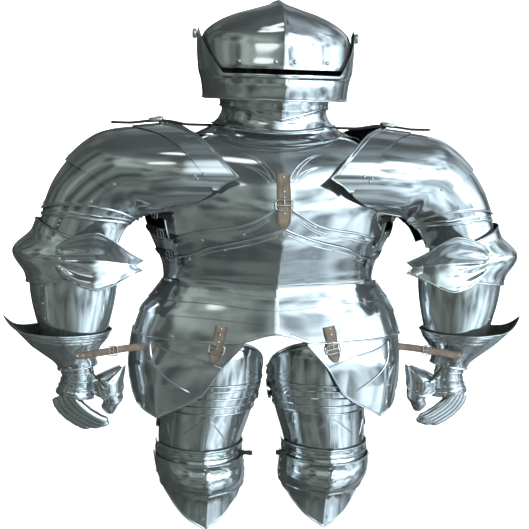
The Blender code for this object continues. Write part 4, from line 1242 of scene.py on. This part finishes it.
def build_forearms():
    """The vambraces: a tube in two halves with a hinge line, over it the flared cuff of the gauntlet."""
    seats = []
    for side, mirrored in SIDES:
        hinge = [[(36, 0.605), (37, 0.65), (40, 0.70)], [(38.2, 0.605), (39.2, 0.65), (42.2, 0.70)]]
        limb_plate(
            "vambrace", side, ARM_FORM, [-90, 270], 0.572, 0.738, 0.0, grid=(110, 30), rolled="tb",
            ring=True,
        )
        surface = surface_of(f"vambrace_{side}_plate")
        flutes(f"vambrace_{side}_seam", ARM_FORM, hinge, surface, 0.0024, 0.0009, mirrored, LIMB_SLOT)
        seats += seats_of(ARM_FORM, ((45, 0.612), (46, 0.650), (47, 0.685), (-60, 0.612)), surface, mirrored)

        def ribs(turn, at):
            """Three ribs round the inner side under the rim."""
            share = np.clip((75 - np.abs(turn)) / 30, 0, 1)
            return sum(ridge(at, 0.0022, 0.0038, 1.0, rib) for rib in (0.020, 0.028, 0.036)) * share

        def swept_up(points, turn, at):
            """The rim rises to a point on the outer side."""
            outermost = np.clip(np.cos(np.radians(turn - 90)), 0, 1) ** 8
            rise = 0.022 * outermost * np.clip(1 - at / 0.06, 0, 1) ** 2
            inward = 0.022 * np.clip((np.abs(points[..., 0]) - 0.56) / 0.087, 0, 1)
            return points + np.stack([-inward, 0 * rise, rise], -1)

        rim = [
            (-90, 0.010), (-30, 0.012), (30, 0.012), (90, 0.0, 1), (150, 0.012), (210, 0.012), (270, 0.010),
        ]
        limb_plate(
            "cuff", side, CUFF_FORM, [-90, 90, 270], rim, 0.110, 0.0, grid=(130, 58), rolled="tb", ring=True,
            relief=ribs, bent=swept_up,
        )
        surface = surface_of(f"cuff_{side}_plate")
        places = [(20, 0.100), (54, 0.1045), (100, 0.1000), (-20, 0.100), (-35, 0.060), (0, 0.088)]
        seats += seats_of(CUFF_FORM, places, surface, mirrored)
    rivets("forearm_rivets", seats, 0.0028)


def build_hands():
    """The backs of the hands in four lames, a knuckle ridge, the fingers and the thumb."""
    seats = []
    for side, mirrored in SIDES:
        stops = [0.0, 0.024, 0.042, 0.060, 0.080]
        for k, (high, low) in enumerate(zip(stops, stops[1:])):
            knuckles = [Band(-0.008, 0.0035, 0.0075)] if k == 3 else []
            limb_plate(
                "hand", side, HAND_FORM, [-70, 150], max(high - 0.005, 0), low, 0.0028 - 0.0007 * (3 - k),
                grid=(48, 14), rolled="b", bands=knuckles, name=f"hand_lame_{k + 1}",
            )
        surface = surface_of(*[f"hand_lame_{k}_{side}" for k in (1, 2, 3, 4)])
        places = [(turn, low - 0.006) for low in stops[1:] for turn in (-56, -24)]
        seats += seats_of(HAND_FORM, places, surface, mirrored)
        build_fingers(side, mirrored)
        leaf = [(-110, -0.612), (-60, -0.628), (0, -0.640), (60, -0.634), (100, -0.620)]
        limb_plate(
            "thumb", side, THUMB_FORM, [-110, 100], -0.568, leaf, 0.0, grid=(54, 34), rolled="bs",
            name="thumb_leaf",
        )
        under = [(turn, at + 0.010) for turn, at in leaf]
        limb_plate(
            "thumb", side, THUMB_FORM, [-110, 100], under, -0.684, -0.0016, grid=(44, 24), rolled="",
            bands=[Band(0.030, 0.0016, 0.004)], name="thumb_lower",
        )
        surface = surface_of(f"thumb_leaf_{side}")
        places = [(-70, -0.616), (-30, -0.626), (10, -0.630), (50, -0.627)]
        seats += seats_of(THUMB_FORM, places, surface, mirrored)
    rivets("hand_rivets", seats, 0.0023)


def build_fingers(side, mirrored):
    """Four fingers of overlapping scales that curl towards the palm."""
    knuckles = np.array([0.4850, -0.010, -0.640])
    across = np.array([0.044, 0.050, -0.034])
    inward, down = np.array([-1.0, 0.0, 0.0]), np.array([0.0, 0.0, -1.0])
    bends = np.array([
        (0.000, 0.000), (0.008, 0.020), (0.024, 0.040), (0.047, 0.058), (0.073, 0.072), (0.099, 0.078),
    ])
    width = np.linalg.norm(across) / 4
    sideways = across / np.linalg.norm(across)
    flip = flip_of(mirrored)
    scales = [(0.00, 0.22), (0.18, 0.40), (0.36, 0.58), (0.54, 0.76), (0.72, 1.00)]
    for finger in range(4):
        reach = (0.90, 1.0, 0.97, 0.86)[finger]
        base = knuckles + across * ((finger + 0.5) / 4 - 0.5)
        for k, (first, last) in enumerate(scales):
            share = np.linspace(first, last, 9) * reach
            bend = smooth_curve(np.linspace(0, 1, len(bends)), bends, share)
            line = base + inward * bend[:, :1] + down * bend[:, 1:]
            ahead = np.gradient(line, axis=0)
            ahead /= np.linalg.norm(ahead, axis=1, keepdims=True)
            outward = np.cross(ahead, sideways)
            outward *= np.sign(outward[:, :1].sum() + 1e-9)
            angle = np.linspace(-1, 1, 17) * math.radians(126)
            tip = np.where(
                share > 0.86 * reach, np.sqrt(np.clip(1 - ((share / reach - 0.86) / 0.15) ** 2, 0.02, 1)), 1,
            )
            along = (share / reach - first) / (last - first)
            radius = width * 0.74 * (1 - 0.16 * share) * tip + 0.0016 * along
            points = (
                line[:, None, :]
                + sideways * (np.sin(angle)[None, :, None] * radius[:, None, None])
                + outward[:, None, :] * (np.cos(angle)[None, :, None] * radius[:, None, None])
            )
            name = f"finger_{finger + 1}_scale_{k + 1}_{side}"
            thing = laid_sheet(name, points * flip)
            centre = Vector(line.mean(0) * flip)
            face_towards(thing, lambda spot: spot - centre)
            plated(thing, LIMB_SLOT, [f"fingers_{side}"], wall=0.0010)


def build_thighs():
    """The cuisses: the arched top with a double edge, narrow lames and the long plate above the knee."""
    arch = [
        (-108, -0.586), (-90, -0.582), (-72, -0.546), (-54, -0.522), (-36, -0.506), (0, -0.492),
        (108, -0.500),
    ]
    seats = []
    for side, mirrored in SIDES:
        limb_plate(
            "cuisse_top", side, LEG_FORM, [-108, 108], arch, -0.604, LAYER, grid=(96, 34), rolled="tb",
            bands=[Band(0.0115, 0.0014, 0.0030)],
        )
        stops = np.linspace(-0.598, -0.678, 5)
        for k, (high, low) in enumerate(zip(stops, stops[1:])):
            limb_plate(
                "cuisse_lames", side, LEG_FORM, [-108, 108], high + 0.008, low,
                LAYER - 0.0016 * (k + 1) - 0.0004, grid=(90, 8), rolled="b", name=f"cuisse_lame_{k + 1}",
            )
        surface = surface_of(*[f"cuisse_lame_{k}_{side}" for k in (1, 2, 3, 4)])
        places = [(turn, low + 0.008) for low in stops[1:] for turn in (-82, 82)]
        seats += seats_of(LEG_FORM, places, surface, mirrored)
        paths = [
            [(2, -0.676), (-1, -0.730), (-5, -0.778)],
            [(4, -0.684), (20, -0.705), (38, -0.735)],
            [(0, -0.690), (-14, -0.712), (-30, -0.742)],
            [(70, -0.690), (60, -0.715), (52, -0.745)],
        ]
        limb_plate(
            "cuisse", side, LEG_FORM, [-108, 108], -0.664, -0.782, -LAYER - LAME_RISE, grid=(96, 40),
            rolled="s",
        )
        surface = surface_of(f"cuisse_{side}_plate")
        flutes(f"cuisse_{side}_flutes", LEG_FORM, paths, surface, 0.0050, 0.0020, mirrored, LIMB_SLOT)
    rivets("thigh_rivets", seats, 0.0024)


def knee_ridge(turn, at):
    """The ridge down the middle of the knee."""
    return ridge(turn, 0.0045, 13.0, 1.3, -4)


def build_knees():
    """The knees: two rimmed lames, the domed poleyn and the pointed lame below it."""
    seats = []

    def dome(turn, at):
        """The dome of the poleyn with its ridge."""
        height = np.clip(1 - ((at + 0.832) / 0.042) ** 2, 0, 1)
        return 0.016 * height * np.clip(np.cos(np.radians(turn)), 0, 1) + knee_ridge(turn, at)

    hem = both_ways([(0, -0.866), (99, -0.874)])
    tip = both_ways([(0, -0.967, 1), (18, -0.955), (36, -0.938), (54, -0.915), (72, -0.893), (99, -0.884)])
    for side, mirrored in SIDES:
        for k, (high, low, lift) in enumerate(((-0.766, -0.790, 0.0006), (-0.784, -0.812, 0.0022))):
            limb_plate(
                "knee_lames", side, LEG_FORM, [-99, 0, 99], high, low, lift - 0.0010, grid=(90, 10),
                rolled="ts", relief=knee_ridge, name=f"knee_lame_{k + 1}",
            )
        limb_plate(
            "poleyn", side, LEG_FORM, [-99, 0, 99], -0.797, hem, LAYER + LAME_RISE, grid=(96, 46),
            rolled="tbs", relief=dome,
        )
        limb_plate(
            "greave_lame", side, LEG_FORM, [-99, 0, 99], -0.858, tip, 0.0, grid=(96, 44), rolled="bs",
            relief=knee_ridge,
        )
        names = [
            f"knee_lame_1_{side}", f"knee_lame_2_{side}", f"poleyn_{side}_plate",
            f"greave_lame_{side}_plate",
        ]
        surface = surface_of(*names)
        places = [
            (-80, -0.780), (-80, -0.802), (-84, -0.820), (-84, -0.840), (-84, -0.858), (80, -0.780),
            (80, -0.802),
        ]
        seats += seats_of(LEG_FORM, places + [(84, -0.840), (4, -0.938)], surface, mirrored)
    rivets("knee_rivets", seats, 0.0038)


def strap(name, line, across, width, nodes=(), thickness=LEATHER, tip=0.0, dark=False):
    """A leather strap along the points of its middle line, with a pointed tip of a given length."""
    line, across = np.array(line, float), np.array(across, float)
    steps = np.linspace(0, len(line) - 1, 12 * (len(line) - 1) + 1)
    line = smooth_curve(np.arange(len(line)), line, steps)
    across = smooth_curve(np.arange(len(across)), across, steps)
    across /= np.linalg.norm(across, axis=1, keepdims=True)
    run = run_of(line)
    half = np.full(len(run), width / 2)
    if tip:
        half = half * np.clip((run[-1] - run + 0.002) / tip, 0, 1) ** 0.6
    t = np.array([-1, -0.88, -0.5, 0, 0.5, 0.88, 1])
    normal = np.cross(np.gradient(line, axis=0), across)
    normal /= np.linalg.norm(normal, axis=1, keepdims=True)
    crown = 0.0004 * (1 - t * t)
    sideways = across[:, None] * (t[None, :] * half[:, None])[..., None]
    points = line[:, None] + sideways + normal[:, None] * crown[None, :, None]
    recess = np.broadcast_to(np.where(np.abs(t) > 0.8, 1.0, 0.0), points.shape[:2])
    thing = laid_sheet(name, points, recess)
    face_towards(thing, lambda spot: Vector(normal.mean(0)))
    walled(thing, thickness, 0.0006, 2)
    material = leather_material("dark_leather", True) if dark else leather_material()
    return finish_piece(thing, material, nodes)


def buckle_pattern(width, height, wire):
    """A rectangular buckle of round wire with a bar and a tongue, in the XY plane, its length along Y."""
    bpy.ops.object.select_all(action="DESELECT")
    bpy.ops.mesh.primitive_torus_add(
        major_segments=36, minor_segments=8, major_radius=1.0, minor_radius=0.25,
    )
    frame_ring = bpy.context.object
    mesh = bmesh.new()
    mesh.from_mesh(frame_ring.data)
    for vertex in mesh.verts:
        angle = math.atan2(vertex.co.y, vertex.co.x)
        out = math.hypot(vertex.co.x, vertex.co.y) - 1.0
        cosine, sine = math.cos(angle), math.sin(angle)
        stretch = (abs(cosine) ** 5 + abs(sine) ** 5) ** (-1 / 5)
        middle = Vector((cosine * stretch * width / 2, sine * stretch * height / 2, 0))
        way = Vector((cosine, sine, 0))
        vertex.co = middle + way * (out / 0.25 * wire) + Vector((0, 0, vertex.co.z / 0.25 * wire))
    for start, end, radius in (
        ((-width / 2, 0, 0), (width / 2, 0, 0), wire * 0.8),
        ((0, 0, wire * 0.9), (0, -height / 2 - wire * 0.4, wire * 0.9), wire * 0.7),
    ):
        start, end = Vector(start), Vector(end)
        way = end - start
        place = Matrix.Translation((start + end) / 2) @ way.to_track_quat("Z", "Y").to_matrix().to_4x4()
        bmesh.ops.create_cone(
            mesh, cap_ends=True, segments=10, radius1=radius, radius2=radius, depth=way.length, matrix=place
        )
    mesh.to_mesh(frame_ring.data)
    mesh.free()
    return frame_ring


def buckle(name, spot, normal, along, width=0.034, height=0.020, wire=0.0016):
    """A buckle that lies at a spot, its length along a direction."""
    thing = buckle_pattern(width, height, wire)
    thing.name = name
    normal, along = Vector(normal).normalized(), Vector(along).normalized()
    side = along.cross(normal).normalized()
    along = normal.cross(side)
    turn = Matrix((side, along, normal)).transposed().to_4x4()
    thing.data.transform(Matrix.Translation(Vector(spot)) @ turn)
    thing.data.attributes.new("recess", "FLOAT", "POINT")
    select_only(thing)
    bpy.ops.object.shade_smooth_by_angle(angle=math.radians(45))
    return finish_piece(thing, rivet_material())


def strap_on(
    name, form, stops, surface, width, nodes=(), tip=0.0, mirrored=False, dark=False, thickness=LEATHER,
):
    """A strap over the plates: rows of turn, place along the form, and how far it stands off the plates."""
    flip = flip_of(mirrored)
    rows = np.array(stops, float)
    normals = form.outward(rows[:, 0], rows[:, 1]) * flip
    spots = form.point(rows[:, 0], rows[:, 1])[0] * flip
    line = np.array([
        np.array(seat_on(surface, spot, normal)[0]) + normal * (thickness + STRAP_PLAY + off)
        for spot, normal, off in zip(spots, normals, rows[:, 2])
    ])
    sideways = np.cross(normals, np.gradient(line, axis=0))
    thing = strap(name, line, sideways, width, nodes, thickness, tip, dark)
    return thing, line, normals


def buckled(name, line, normals, where, size=(0.034, 0.020), wire=0.0016):
    """A buckle on a strap's line, at a share of its way."""
    spot = smooth_curve(np.arange(len(line)), line, np.array([where * (len(line) - 1)]))[0]
    normal = smooth_curve(np.arange(len(line)), normals, np.array([where * (len(line) - 1)]))[0]
    k = min(int(where * (len(line) - 1)), len(line) - 2)
    return buckle(name, spot + normal * 0.0012, normal, line[k + 1] - line[k], size[0], size[1], wire)


def studs_along(line, normals, shares):
    """Seats for rivets or eyelets on a strap's line, at shares of its way."""
    places = np.array(shares, float) * (len(line) - 1)
    spots = smooth_curve(np.arange(len(line)), line, places)
    ways = smooth_curve(np.arange(len(line)), normals, places)
    return [(Vector(spot), Vector(way).normalized()) for spot, way in zip(spots, ways)]


def build_straps():
    """The chest strap, the tasset, shoulder and wrist straps, and the dark straps at the sides and knees."""
    seats = []
    chest = surface_of("breastplate_plate", "plackart_upper_plate", "plackart_lower_plate")
    rows = [
        (0, -0.098, 0.001), (0, -0.125, 0.001), (0, -0.155, 0.003), (0, -0.185, 0.0025), (0, -0.216, 0.001),
    ]
    _, line, normals = strap_on(
        "chest_strap_leather", TRUNK_FORM, rows, chest, 0.0310, ["chest_strap"], 0.020,
    )
    buckled("chest_buckle", line, normals, 0.58, (0.0400, 0.0240), 0.0019)
    seats += studs_along(line, normals, (0.06, 0.34, 0.44, 0.72))
    for side, mirrored in SIDES:
        build_side_straps(side, mirrored, seats)
    rivets("strap_rivets", seats, 0.0030)


def build_side_straps(side, mirrored, seats):
    """The straps of one side of the wearer."""
    flip = flip_of(mirrored)
    hips = surface_of("fauld_1_plate", "fauld_2_plate", "fauld_3_plate", f"tasset_{side}_plate")
    rows = [(26.2, -0.452, 0.0), (26.2, -0.475, 0.0006), (26.2, -0.505, 0.001), (26.2, -0.536, 0.001)]
    _, line, normals = strap_on(
        f"tasset_strap_{side}_leather", TRUNK_FORM, rows, hips, 0.0290, [f"tasset_strap_{side}"], 0.018,
        mirrored,
    )
    buckled(f"tasset_buckle_{side}", line, normals, 0.66, (0.0350, 0.0210), 0.0018)
    seats += studs_along(line, normals, (0.08, 0.28, 0.48))
    shoulder = surface_of(f"pauldron_front_{side}_plate", f"pauldron_cap_{side}_plate")
    rows = [
        (90, 0.0487, 0.0), (90, 0.100, 0.0), (90, 0.150, 0.001), (90, 0.185, 0.003), (90, 0.220, 0.006),
        (90, 0.250, 0.012),
    ]
    _, line, normals = strap_on(
        f"shoulder_strap_{side}_leather", ARM_FORM, rows, shoulder, 0.0240, [f"shoulder_strap_{side}"], 0.02,
        mirrored, True, 0.0058,
    )
    buckled(f"shoulder_buckle_{side}", line, normals, 0.5, (0.0340, 0.0280), 0.0042)
    wrist = np.array([
        (0.460, -0.0930, -0.5305), (0.440, -0.0965, -0.5285), (0.412, -0.1030, -0.5220),
        (0.386, -0.1030, -0.5180), (0.345, -0.0970, -0.5120), (0.300, -0.0915, -0.5080),
    ])
    strap(
        f"wrist_strap_{side}_leather", wrist * flip, [(0.12 * flip[0], 0, 1)] * 6, 0.0170,
        [f"wrist_strap_{side}"],
    )
    buckle(
        f"wrist_buckle_{side}", Vector((0.372 * flip[0], -0.1040, -0.5160)), (0, -1, 0), (1, 0, 0), 0.0230,
        0.0190, 0.0017,
    )
    for x, z in ((0.4545, -0.5300), (0.4420, -0.5285)):
        seats.append((Vector((x * flip[0], -0.0965, z)), Vector((0, -1, 0))))
    trunk = surface_of(
        "breastplate_plate", "plackart_upper_plate", "plackart_lower_plate", "backplate_plate",
    )
    for k, (start, end) in enumerate(((-0.205, -0.190), (-0.255, -0.240), (-0.305, -0.295))):
        rows = [
            (54, start, 0.0), (62, start * 0.6 + end * 0.4, 0.001), (74, start * 0.3 + end * 0.7, 0.0),
            (88, end, 0.0),
        ]
        _, line, normals = strap_on(
            f"side_strap_{k + 1}_{side}", TRUNK_FORM, rows, trunk, 0.0180, (), 0.012, mirrored, True,
        )
        buckled(f"side_buckle_{k + 1}_{side}", line, normals, 0.45, (0.0240, 0.0190), 0.0016)
    names = [f"knee_lame_1_{side}", f"knee_lame_2_{side}", f"cuisse_{side}_plate"]
    thigh = surface_of(
        *names, f"cuisse_top_{side}_plate", *[f"cuisse_lame_{k}_{side}" for k in (1, 2, 3, 4)],
    )
    for k, (turn, z) in enumerate(((-96, -0.628), (-96, -0.655), (96, -0.725))):
        way = 1 if turn > 0 else -1
        rows = [(turn - way * 12, z, 0.0), (turn, z - 0.002, 0.0), (turn + way * 9, z - 0.004, 0.0)]
        _, line, normals = strap_on(
            f"thigh_strap_{k + 1}_{side}", LEG_FORM, rows, thigh, 0.0150, (), 0.0, mirrored, True,
        )
        buckled(f"thigh_buckle_{k + 1}_{side}", line, normals, 0.6, (0.0200, 0.0170), 0.0015)
    loop = np.array([
        (0.0660, -0.018, -0.7860), (0.0540, -0.030, -0.7850), (0.0380, -0.034, -0.7870),
        (0.0300, -0.020, -0.7900), (0.0380, -0.004, -0.7930), (0.0540, -0.002, -0.7960),
        (0.0680, -0.010, -0.7990),
    ])
    strap(f"knee_loop_{side}", loop * flip, [(0, 0, 1)] * 7, 0.0100, (), 0.0022, 0.0, True)
    hanging = np.array([
        (0.4240, -0.0640, -0.5680), (0.4140, -0.0690, -0.5790), (0.4020, -0.0720, -0.5910),
        (0.3930, -0.0710, -0.6020),
    ])
    strap(
        f"glove_strap_{side}", hanging * flip, [(0.5 * flip[0], 1, 0.5)] * 4, 0.0130, (), 0.0030, 0.0, True,
    )
    bpy.ops.object.select_all(action="DESELECT")
    bpy.ops.mesh.primitive_torus_add(
        major_segments=28, minor_segments=8, major_radius=0.0080, minor_radius=0.0014,
    )
    ring = bpy.context.object
    ring.name = f"glove_ring_{side}"
    place = Matrix.Translation((0.3885 * flip[0], -0.0710, -0.6060))
    ring.data.transform(place @ Matrix.Rotation(math.pi / 2, 4, "X"))
    ring.data.shade_smooth()
    finish_piece(ring, rivet_material())


def build_stage():
    """The pale floor and backdrop, soft studio lights, and the camera at the photograph's angle."""
    stage = bpy.context.scene.armour_stage
    floor = stage.floor_height
    side = np.linspace(-FLOOR_REACH, FLOOR_REACH, 25)
    bend = [(-FLOOR_REACH, 0.0), (BEND_START, 0.0)]
    for angle in np.linspace(0.1, math.pi / 2, 14):
        rise = BEND_RADIUS - BEND_RADIUS * math.cos(angle)
        bend.append((BEND_START + BEND_RADIUS * math.sin(angle), rise))
    bend.append((BEND_START + BEND_RADIUS, BACKDROP_HEIGHT))
    points = np.array([[(x, y, floor + z) for x in side] for y, z in bend])
    backdrop = laid_sheet("studio_backdrop", points)
    face_towards(backdrop, lambda spot: Vector((0, -1, 1)))
    bpy.context.view_layer.objects.active = backdrop
    backdrop.data.shade_smooth()
    pale = (stage.paleness,) * 3
    material, _, shader = new_material("pale_floor", pale, 0.9, 0.0)
    shader.inputs["Specular IOR Level"].default_value = 0.1
    backdrop.data.materials.append(material)
    backdrop.visible_glossy = False
    lights = [
        # name, place, aim, width, height, power, whether steel mirrors it
        ("floor_softbox", (0.8, -2.2, 2.6), (0.0, 0.0, -0.6), 2.2, 2.0, 45.0, False),
        ("floor_wash", (0.0, 2.0, 3.0), (0.0, 2.8, -1.0), 4.5, 1.6, 190.0, False),
        ("back_wash", (0.0, 4.6, 3.4), (0.0, 7.0, 0.2), 6.0, 1.2, 520.0, False),
        ("key_softbox", (1.9, -1.9, 1.2), (0.0, 0.0, -0.1), 0.5, 0.9, 9.0, True),
        ("top_softbox", (-0.6, -1.3, 2.5), (0.0, 0.0, -0.2), 0.9, 0.35, 1.4, True),
        ("left_softbox", (-1.1, -2.3, 1.5), (0.0, 0.0, -0.3), 0.8, 0.4, 1.0, True),
    ]
    for name, place, aim, width, height, power, mirrored in lights:
        bpy.ops.object.select_all(action="DESELECT")
        bpy.ops.object.light_add(type="AREA", location=place)
        light = bpy.context.object
        light.name = name
        light.data.shape = "ELLIPSE" if mirrored else "RECTANGLE"
        light.data.size, light.data.size_y = width, height
        light.data.energy = power
        light.visible_glossy = mirrored
        light.rotation_euler = (Vector(aim) - Vector(place)).to_track_quat("-Z", "Y").to_euler()
    build_world()
    turn, pitch, roll = stage.camera_turn, stage.camera_pitch, stage.camera_roll
    distance = stage.camera_distance
    spot = (distance * math.sin(turn), -distance * math.cos(turn), CAMERA_HEIGHT)
    bpy.ops.object.camera_add(location=spot)
    camera = bpy.context.object
    camera.name = "photo_camera"
    ahead = Vector((-math.sin(turn) * math.cos(pitch), math.cos(turn) * math.cos(pitch), -math.sin(pitch)))
    right = ahead.cross(Vector((0, 0, 1))).normalized()
    up = right.cross(ahead)
    rolled_right = right * math.cos(roll) + up * math.sin(roll)
    rolled_up = up * math.cos(roll) - right * math.sin(roll)
    turned = Matrix((rolled_right, rolled_up, -ahead)).transposed()
    camera.rotation_euler = turned.to_euler()
    camera.data.sensor_width = SENSOR_WIDTH
    camera.data.lens = FOCAL_LENGTH * SENSOR_WIDTH / PICTURE_SIDE
    camera.data.shift_x = (PICTURE_SIDE / 2 - ARMOUR_MIDDLE) / PICTURE_SIDE
    bpy.context.scene.camera = camera
    bpy.context.scene.view_settings.view_transform = "Standard"


def build_world():
    """The studio round the armour, as its steel mirrors it: bright above, dark at eye height, grey below."""
    world = bpy.data.worlds.new("studio")
    bpy.context.scene.world = world
    world.use_nodes = True
    tree = world.node_tree
    background = tree.nodes["Background"]
    where = add_node(tree, "ShaderNodeTexCoord").outputs["Generated"]
    apart = add_node(tree, "ShaderNodeSeparateXYZ", Vector=where)
    height = between(tree, apart.outputs["Z"], 0.0, 1.0, -1.0, 1.0)
    ramp = add_node(tree, "ShaderNodeValToRGB", Fac=height)
    stops = [
        (0.0, 0.35), (0.2, 0.5), (0.40, 0.6), (0.46, 0.4), (0.51, 0.85), (0.57, 1.3), (0.83, 1.35),
        (0.88, 0.28), (0.95, 0.16), (1.0, 0.3),
    ]
    elements = ramp.color_ramp.elements
    while len(elements) < len(stops):
        elements.new(0.5)
    for element, (place, grey) in zip(elements, stops):
        element.position = place
        element.color = (grey, grey, grey, 1)
    rightward = between(tree, apart.outputs["X"], 0.0, 1.0, -0.10, 0.50)
    hue = mixed(tree, rightward, DARK_SIDE, BRIGHT_SIDE)
    clouds = between(tree, noise_of(tree, where, 3.2, 2.0, 0.5), 0.12, 2.0, 0.36, 0.64)
    forward = between(tree, apart.outputs["Y"], 1.0, 0.2, -0.30, 0.25)
    shade = add_node(
        tree, "ShaderNodeMix", {"data_type": "RGBA", "blend_type": "MULTIPLY"}, i0=1.0, i6=ramp.outputs[0],
    )
    tree.links.new(hue, shade.inputs[7])
    tree.links.new(shade.outputs[2], background.inputs[0])
    tree.links.new(product_of(tree, clouds, forward), background.inputs[1])


class ArmourOperator:
    """What the operators have in common: each builds its pieces."""

    bl_options = {"REGISTER", "UNDO"}

    def execute(self, context):
        type(self).build()
        return {"FINISHED"}


class ARMOUR_OT_skull(ArmourOperator, bpy.types.Operator):
    """Builds the skull of the helmet"""

    bl_idname = "armour.skull"
    bl_label = "Skull"
    build = staticmethod(build_skull)


class ARMOUR_OT_visor(ArmourOperator, bpy.types.Operator):
    """Builds the visor and its two pivots"""

    bl_idname = "armour.visor"
    bl_label = "Visor"
    build = staticmethod(build_visor)


class ARMOUR_OT_neck(ArmourOperator, bpy.types.Operator):
    """Builds the bevor, the collar and the gorget"""

    bl_idname = "armour.neck"
    bl_label = "Neck"
    build = staticmethod(build_neck)


class ARMOUR_OT_breastplate(ArmourOperator, bpy.types.Operator):
    """Builds the breastplate"""

    bl_idname = "armour.breastplate"
    bl_label = "Breastplate"
    build = staticmethod(build_breastplate)


class ARMOUR_OT_plackarts(ArmourOperator, bpy.types.Operator):
    """Builds the two plackarts"""

    bl_idname = "armour.plackarts"
    bl_label = "Plackarts"
    build = staticmethod(build_plackarts)


class ARMOUR_OT_backplate(ArmourOperator, bpy.types.Operator):
    """Builds the backplate and the culet"""

    bl_idname = "armour.backplate"
    bl_label = "Backplate and culet"
    build = staticmethod(build_backplate)


class ARMOUR_OT_fauld(ArmourOperator, bpy.types.Operator):
    """Builds the lames of the fauld"""

    bl_idname = "armour.fauld"
    bl_label = "Fauld"
    build = staticmethod(build_fauld)


class ARMOUR_OT_tassets(ArmourOperator, bpy.types.Operator):
    """Builds the tassets"""

    bl_idname = "armour.tassets"
    bl_label = "Tassets"
    build = staticmethod(build_tassets)


class ARMOUR_OT_pauldrons(ArmourOperator, bpy.types.Operator):
    """Builds the pauldrons"""

    bl_idname = "armour.pauldrons"
    bl_label = "Pauldrons"
    build = staticmethod(build_pauldrons)


class ARMOUR_OT_upper_arms(ArmourOperator, bpy.types.Operator):
    """Builds the plates of the upper arms"""

    bl_idname = "armour.upper_arms"
    bl_label = "Upper arms"
    build = staticmethod(build_upper_arms)


class ARMOUR_OT_couters(ArmourOperator, bpy.types.Operator):
    """Builds the elbows and their wings"""

    bl_idname = "armour.couters"
    bl_label = "Elbows"
    build = staticmethod(build_couters)


class ARMOUR_OT_forearms(ArmourOperator, bpy.types.Operator):
    """Builds the vambraces and the cuffs of the gauntlets"""

    bl_idname = "armour.forearms"
    bl_label = "Forearms and cuffs"
    build = staticmethod(build_forearms)


class ARMOUR_OT_hands(ArmourOperator, bpy.types.Operator):
    """Builds the hands, fingers and thumbs"""

    bl_idname = "armour.hands"
    bl_label = "Hands"
    build = staticmethod(build_hands)


class ARMOUR_OT_thighs(ArmourOperator, bpy.types.Operator):
    """Builds the plates of the thighs"""

    bl_idname = "armour.thighs"
    bl_label = "Thighs"
    build = staticmethod(build_thighs)


class ARMOUR_OT_knees(ArmourOperator, bpy.types.Operator):
    """Builds the knees and the lames below them"""

    bl_idname = "armour.knees"
    bl_label = "Knees"
    build = staticmethod(build_knees)


class ARMOUR_OT_straps(ArmourOperator, bpy.types.Operator):
    """Builds the straps and their buckles"""

    bl_idname = "armour.straps"
    bl_label = "Straps"
    build = staticmethod(build_straps)


class ARMOUR_OT_stage(ArmourOperator, bpy.types.Operator):
    """Builds the floor, the lights and the camera"""

    bl_idname = "armour.stage"
    bl_label = "Stage"
    build = staticmethod(build_stage)


OPERATORS = (
    ARMOUR_OT_stage, ARMOUR_OT_skull, ARMOUR_OT_visor, ARMOUR_OT_neck, ARMOUR_OT_breastplate,
    ARMOUR_OT_plackarts, ARMOUR_OT_backplate, ARMOUR_OT_fauld, ARMOUR_OT_tassets, ARMOUR_OT_pauldrons,
    ARMOUR_OT_upper_arms, ARMOUR_OT_couters, ARMOUR_OT_forearms, ARMOUR_OT_hands, ARMOUR_OT_thighs,
    ARMOUR_OT_knees, ARMOUR_OT_straps,
)


class ARMOUR_PT_sidebar(bpy.types.Panel):
    """The armour's colours and its pieces"""

    bl_idname = "ARMOUR_PT_sidebar"
    bl_label = "Field armour"
    bl_space_type = "VIEW_3D"
    bl_region_type = "UI"
    bl_category = "Armour"

    def draw(self, context):
        for settings in (context.scene.armour_look, context.scene.armour_stage):
            for key in settings.bl_rna.properties.keys():
                if key not in ("rna_type", "name"):
                    self.layout.prop(settings, key)
        for operator in OPERATORS:
            self.layout.operator(operator.bl_idname)


CLASSES = (ARMOUR_PG_look, ARMOUR_PG_stage, *OPERATORS, ARMOUR_PT_sidebar)


def register():
    """Registers the classes and the two groups of settings."""
    for cls in CLASSES:
        bpy.utils.register_class(cls)
    bpy.types.Scene.armour_look = bpy.props.PointerProperty(type=ARMOUR_PG_look)
    bpy.types.Scene.armour_stage = bpy.props.PointerProperty(type=ARMOUR_PG_stage)


def unregister():
    """Takes back what register did."""
    del bpy.types.Scene.armour_stage
    del bpy.types.Scene.armour_look
    for cls in reversed(CLASSES):
        bpy.utils.unregister_class(cls)


def main():
    """Builds the stage and every piece."""
    register()
    for operator in OPERATORS:
        group, name = operator.bl_idname.split(".")
        getattr(getattr(bpy.ops, group), name)()


if __name__ == "__main__":
    main()
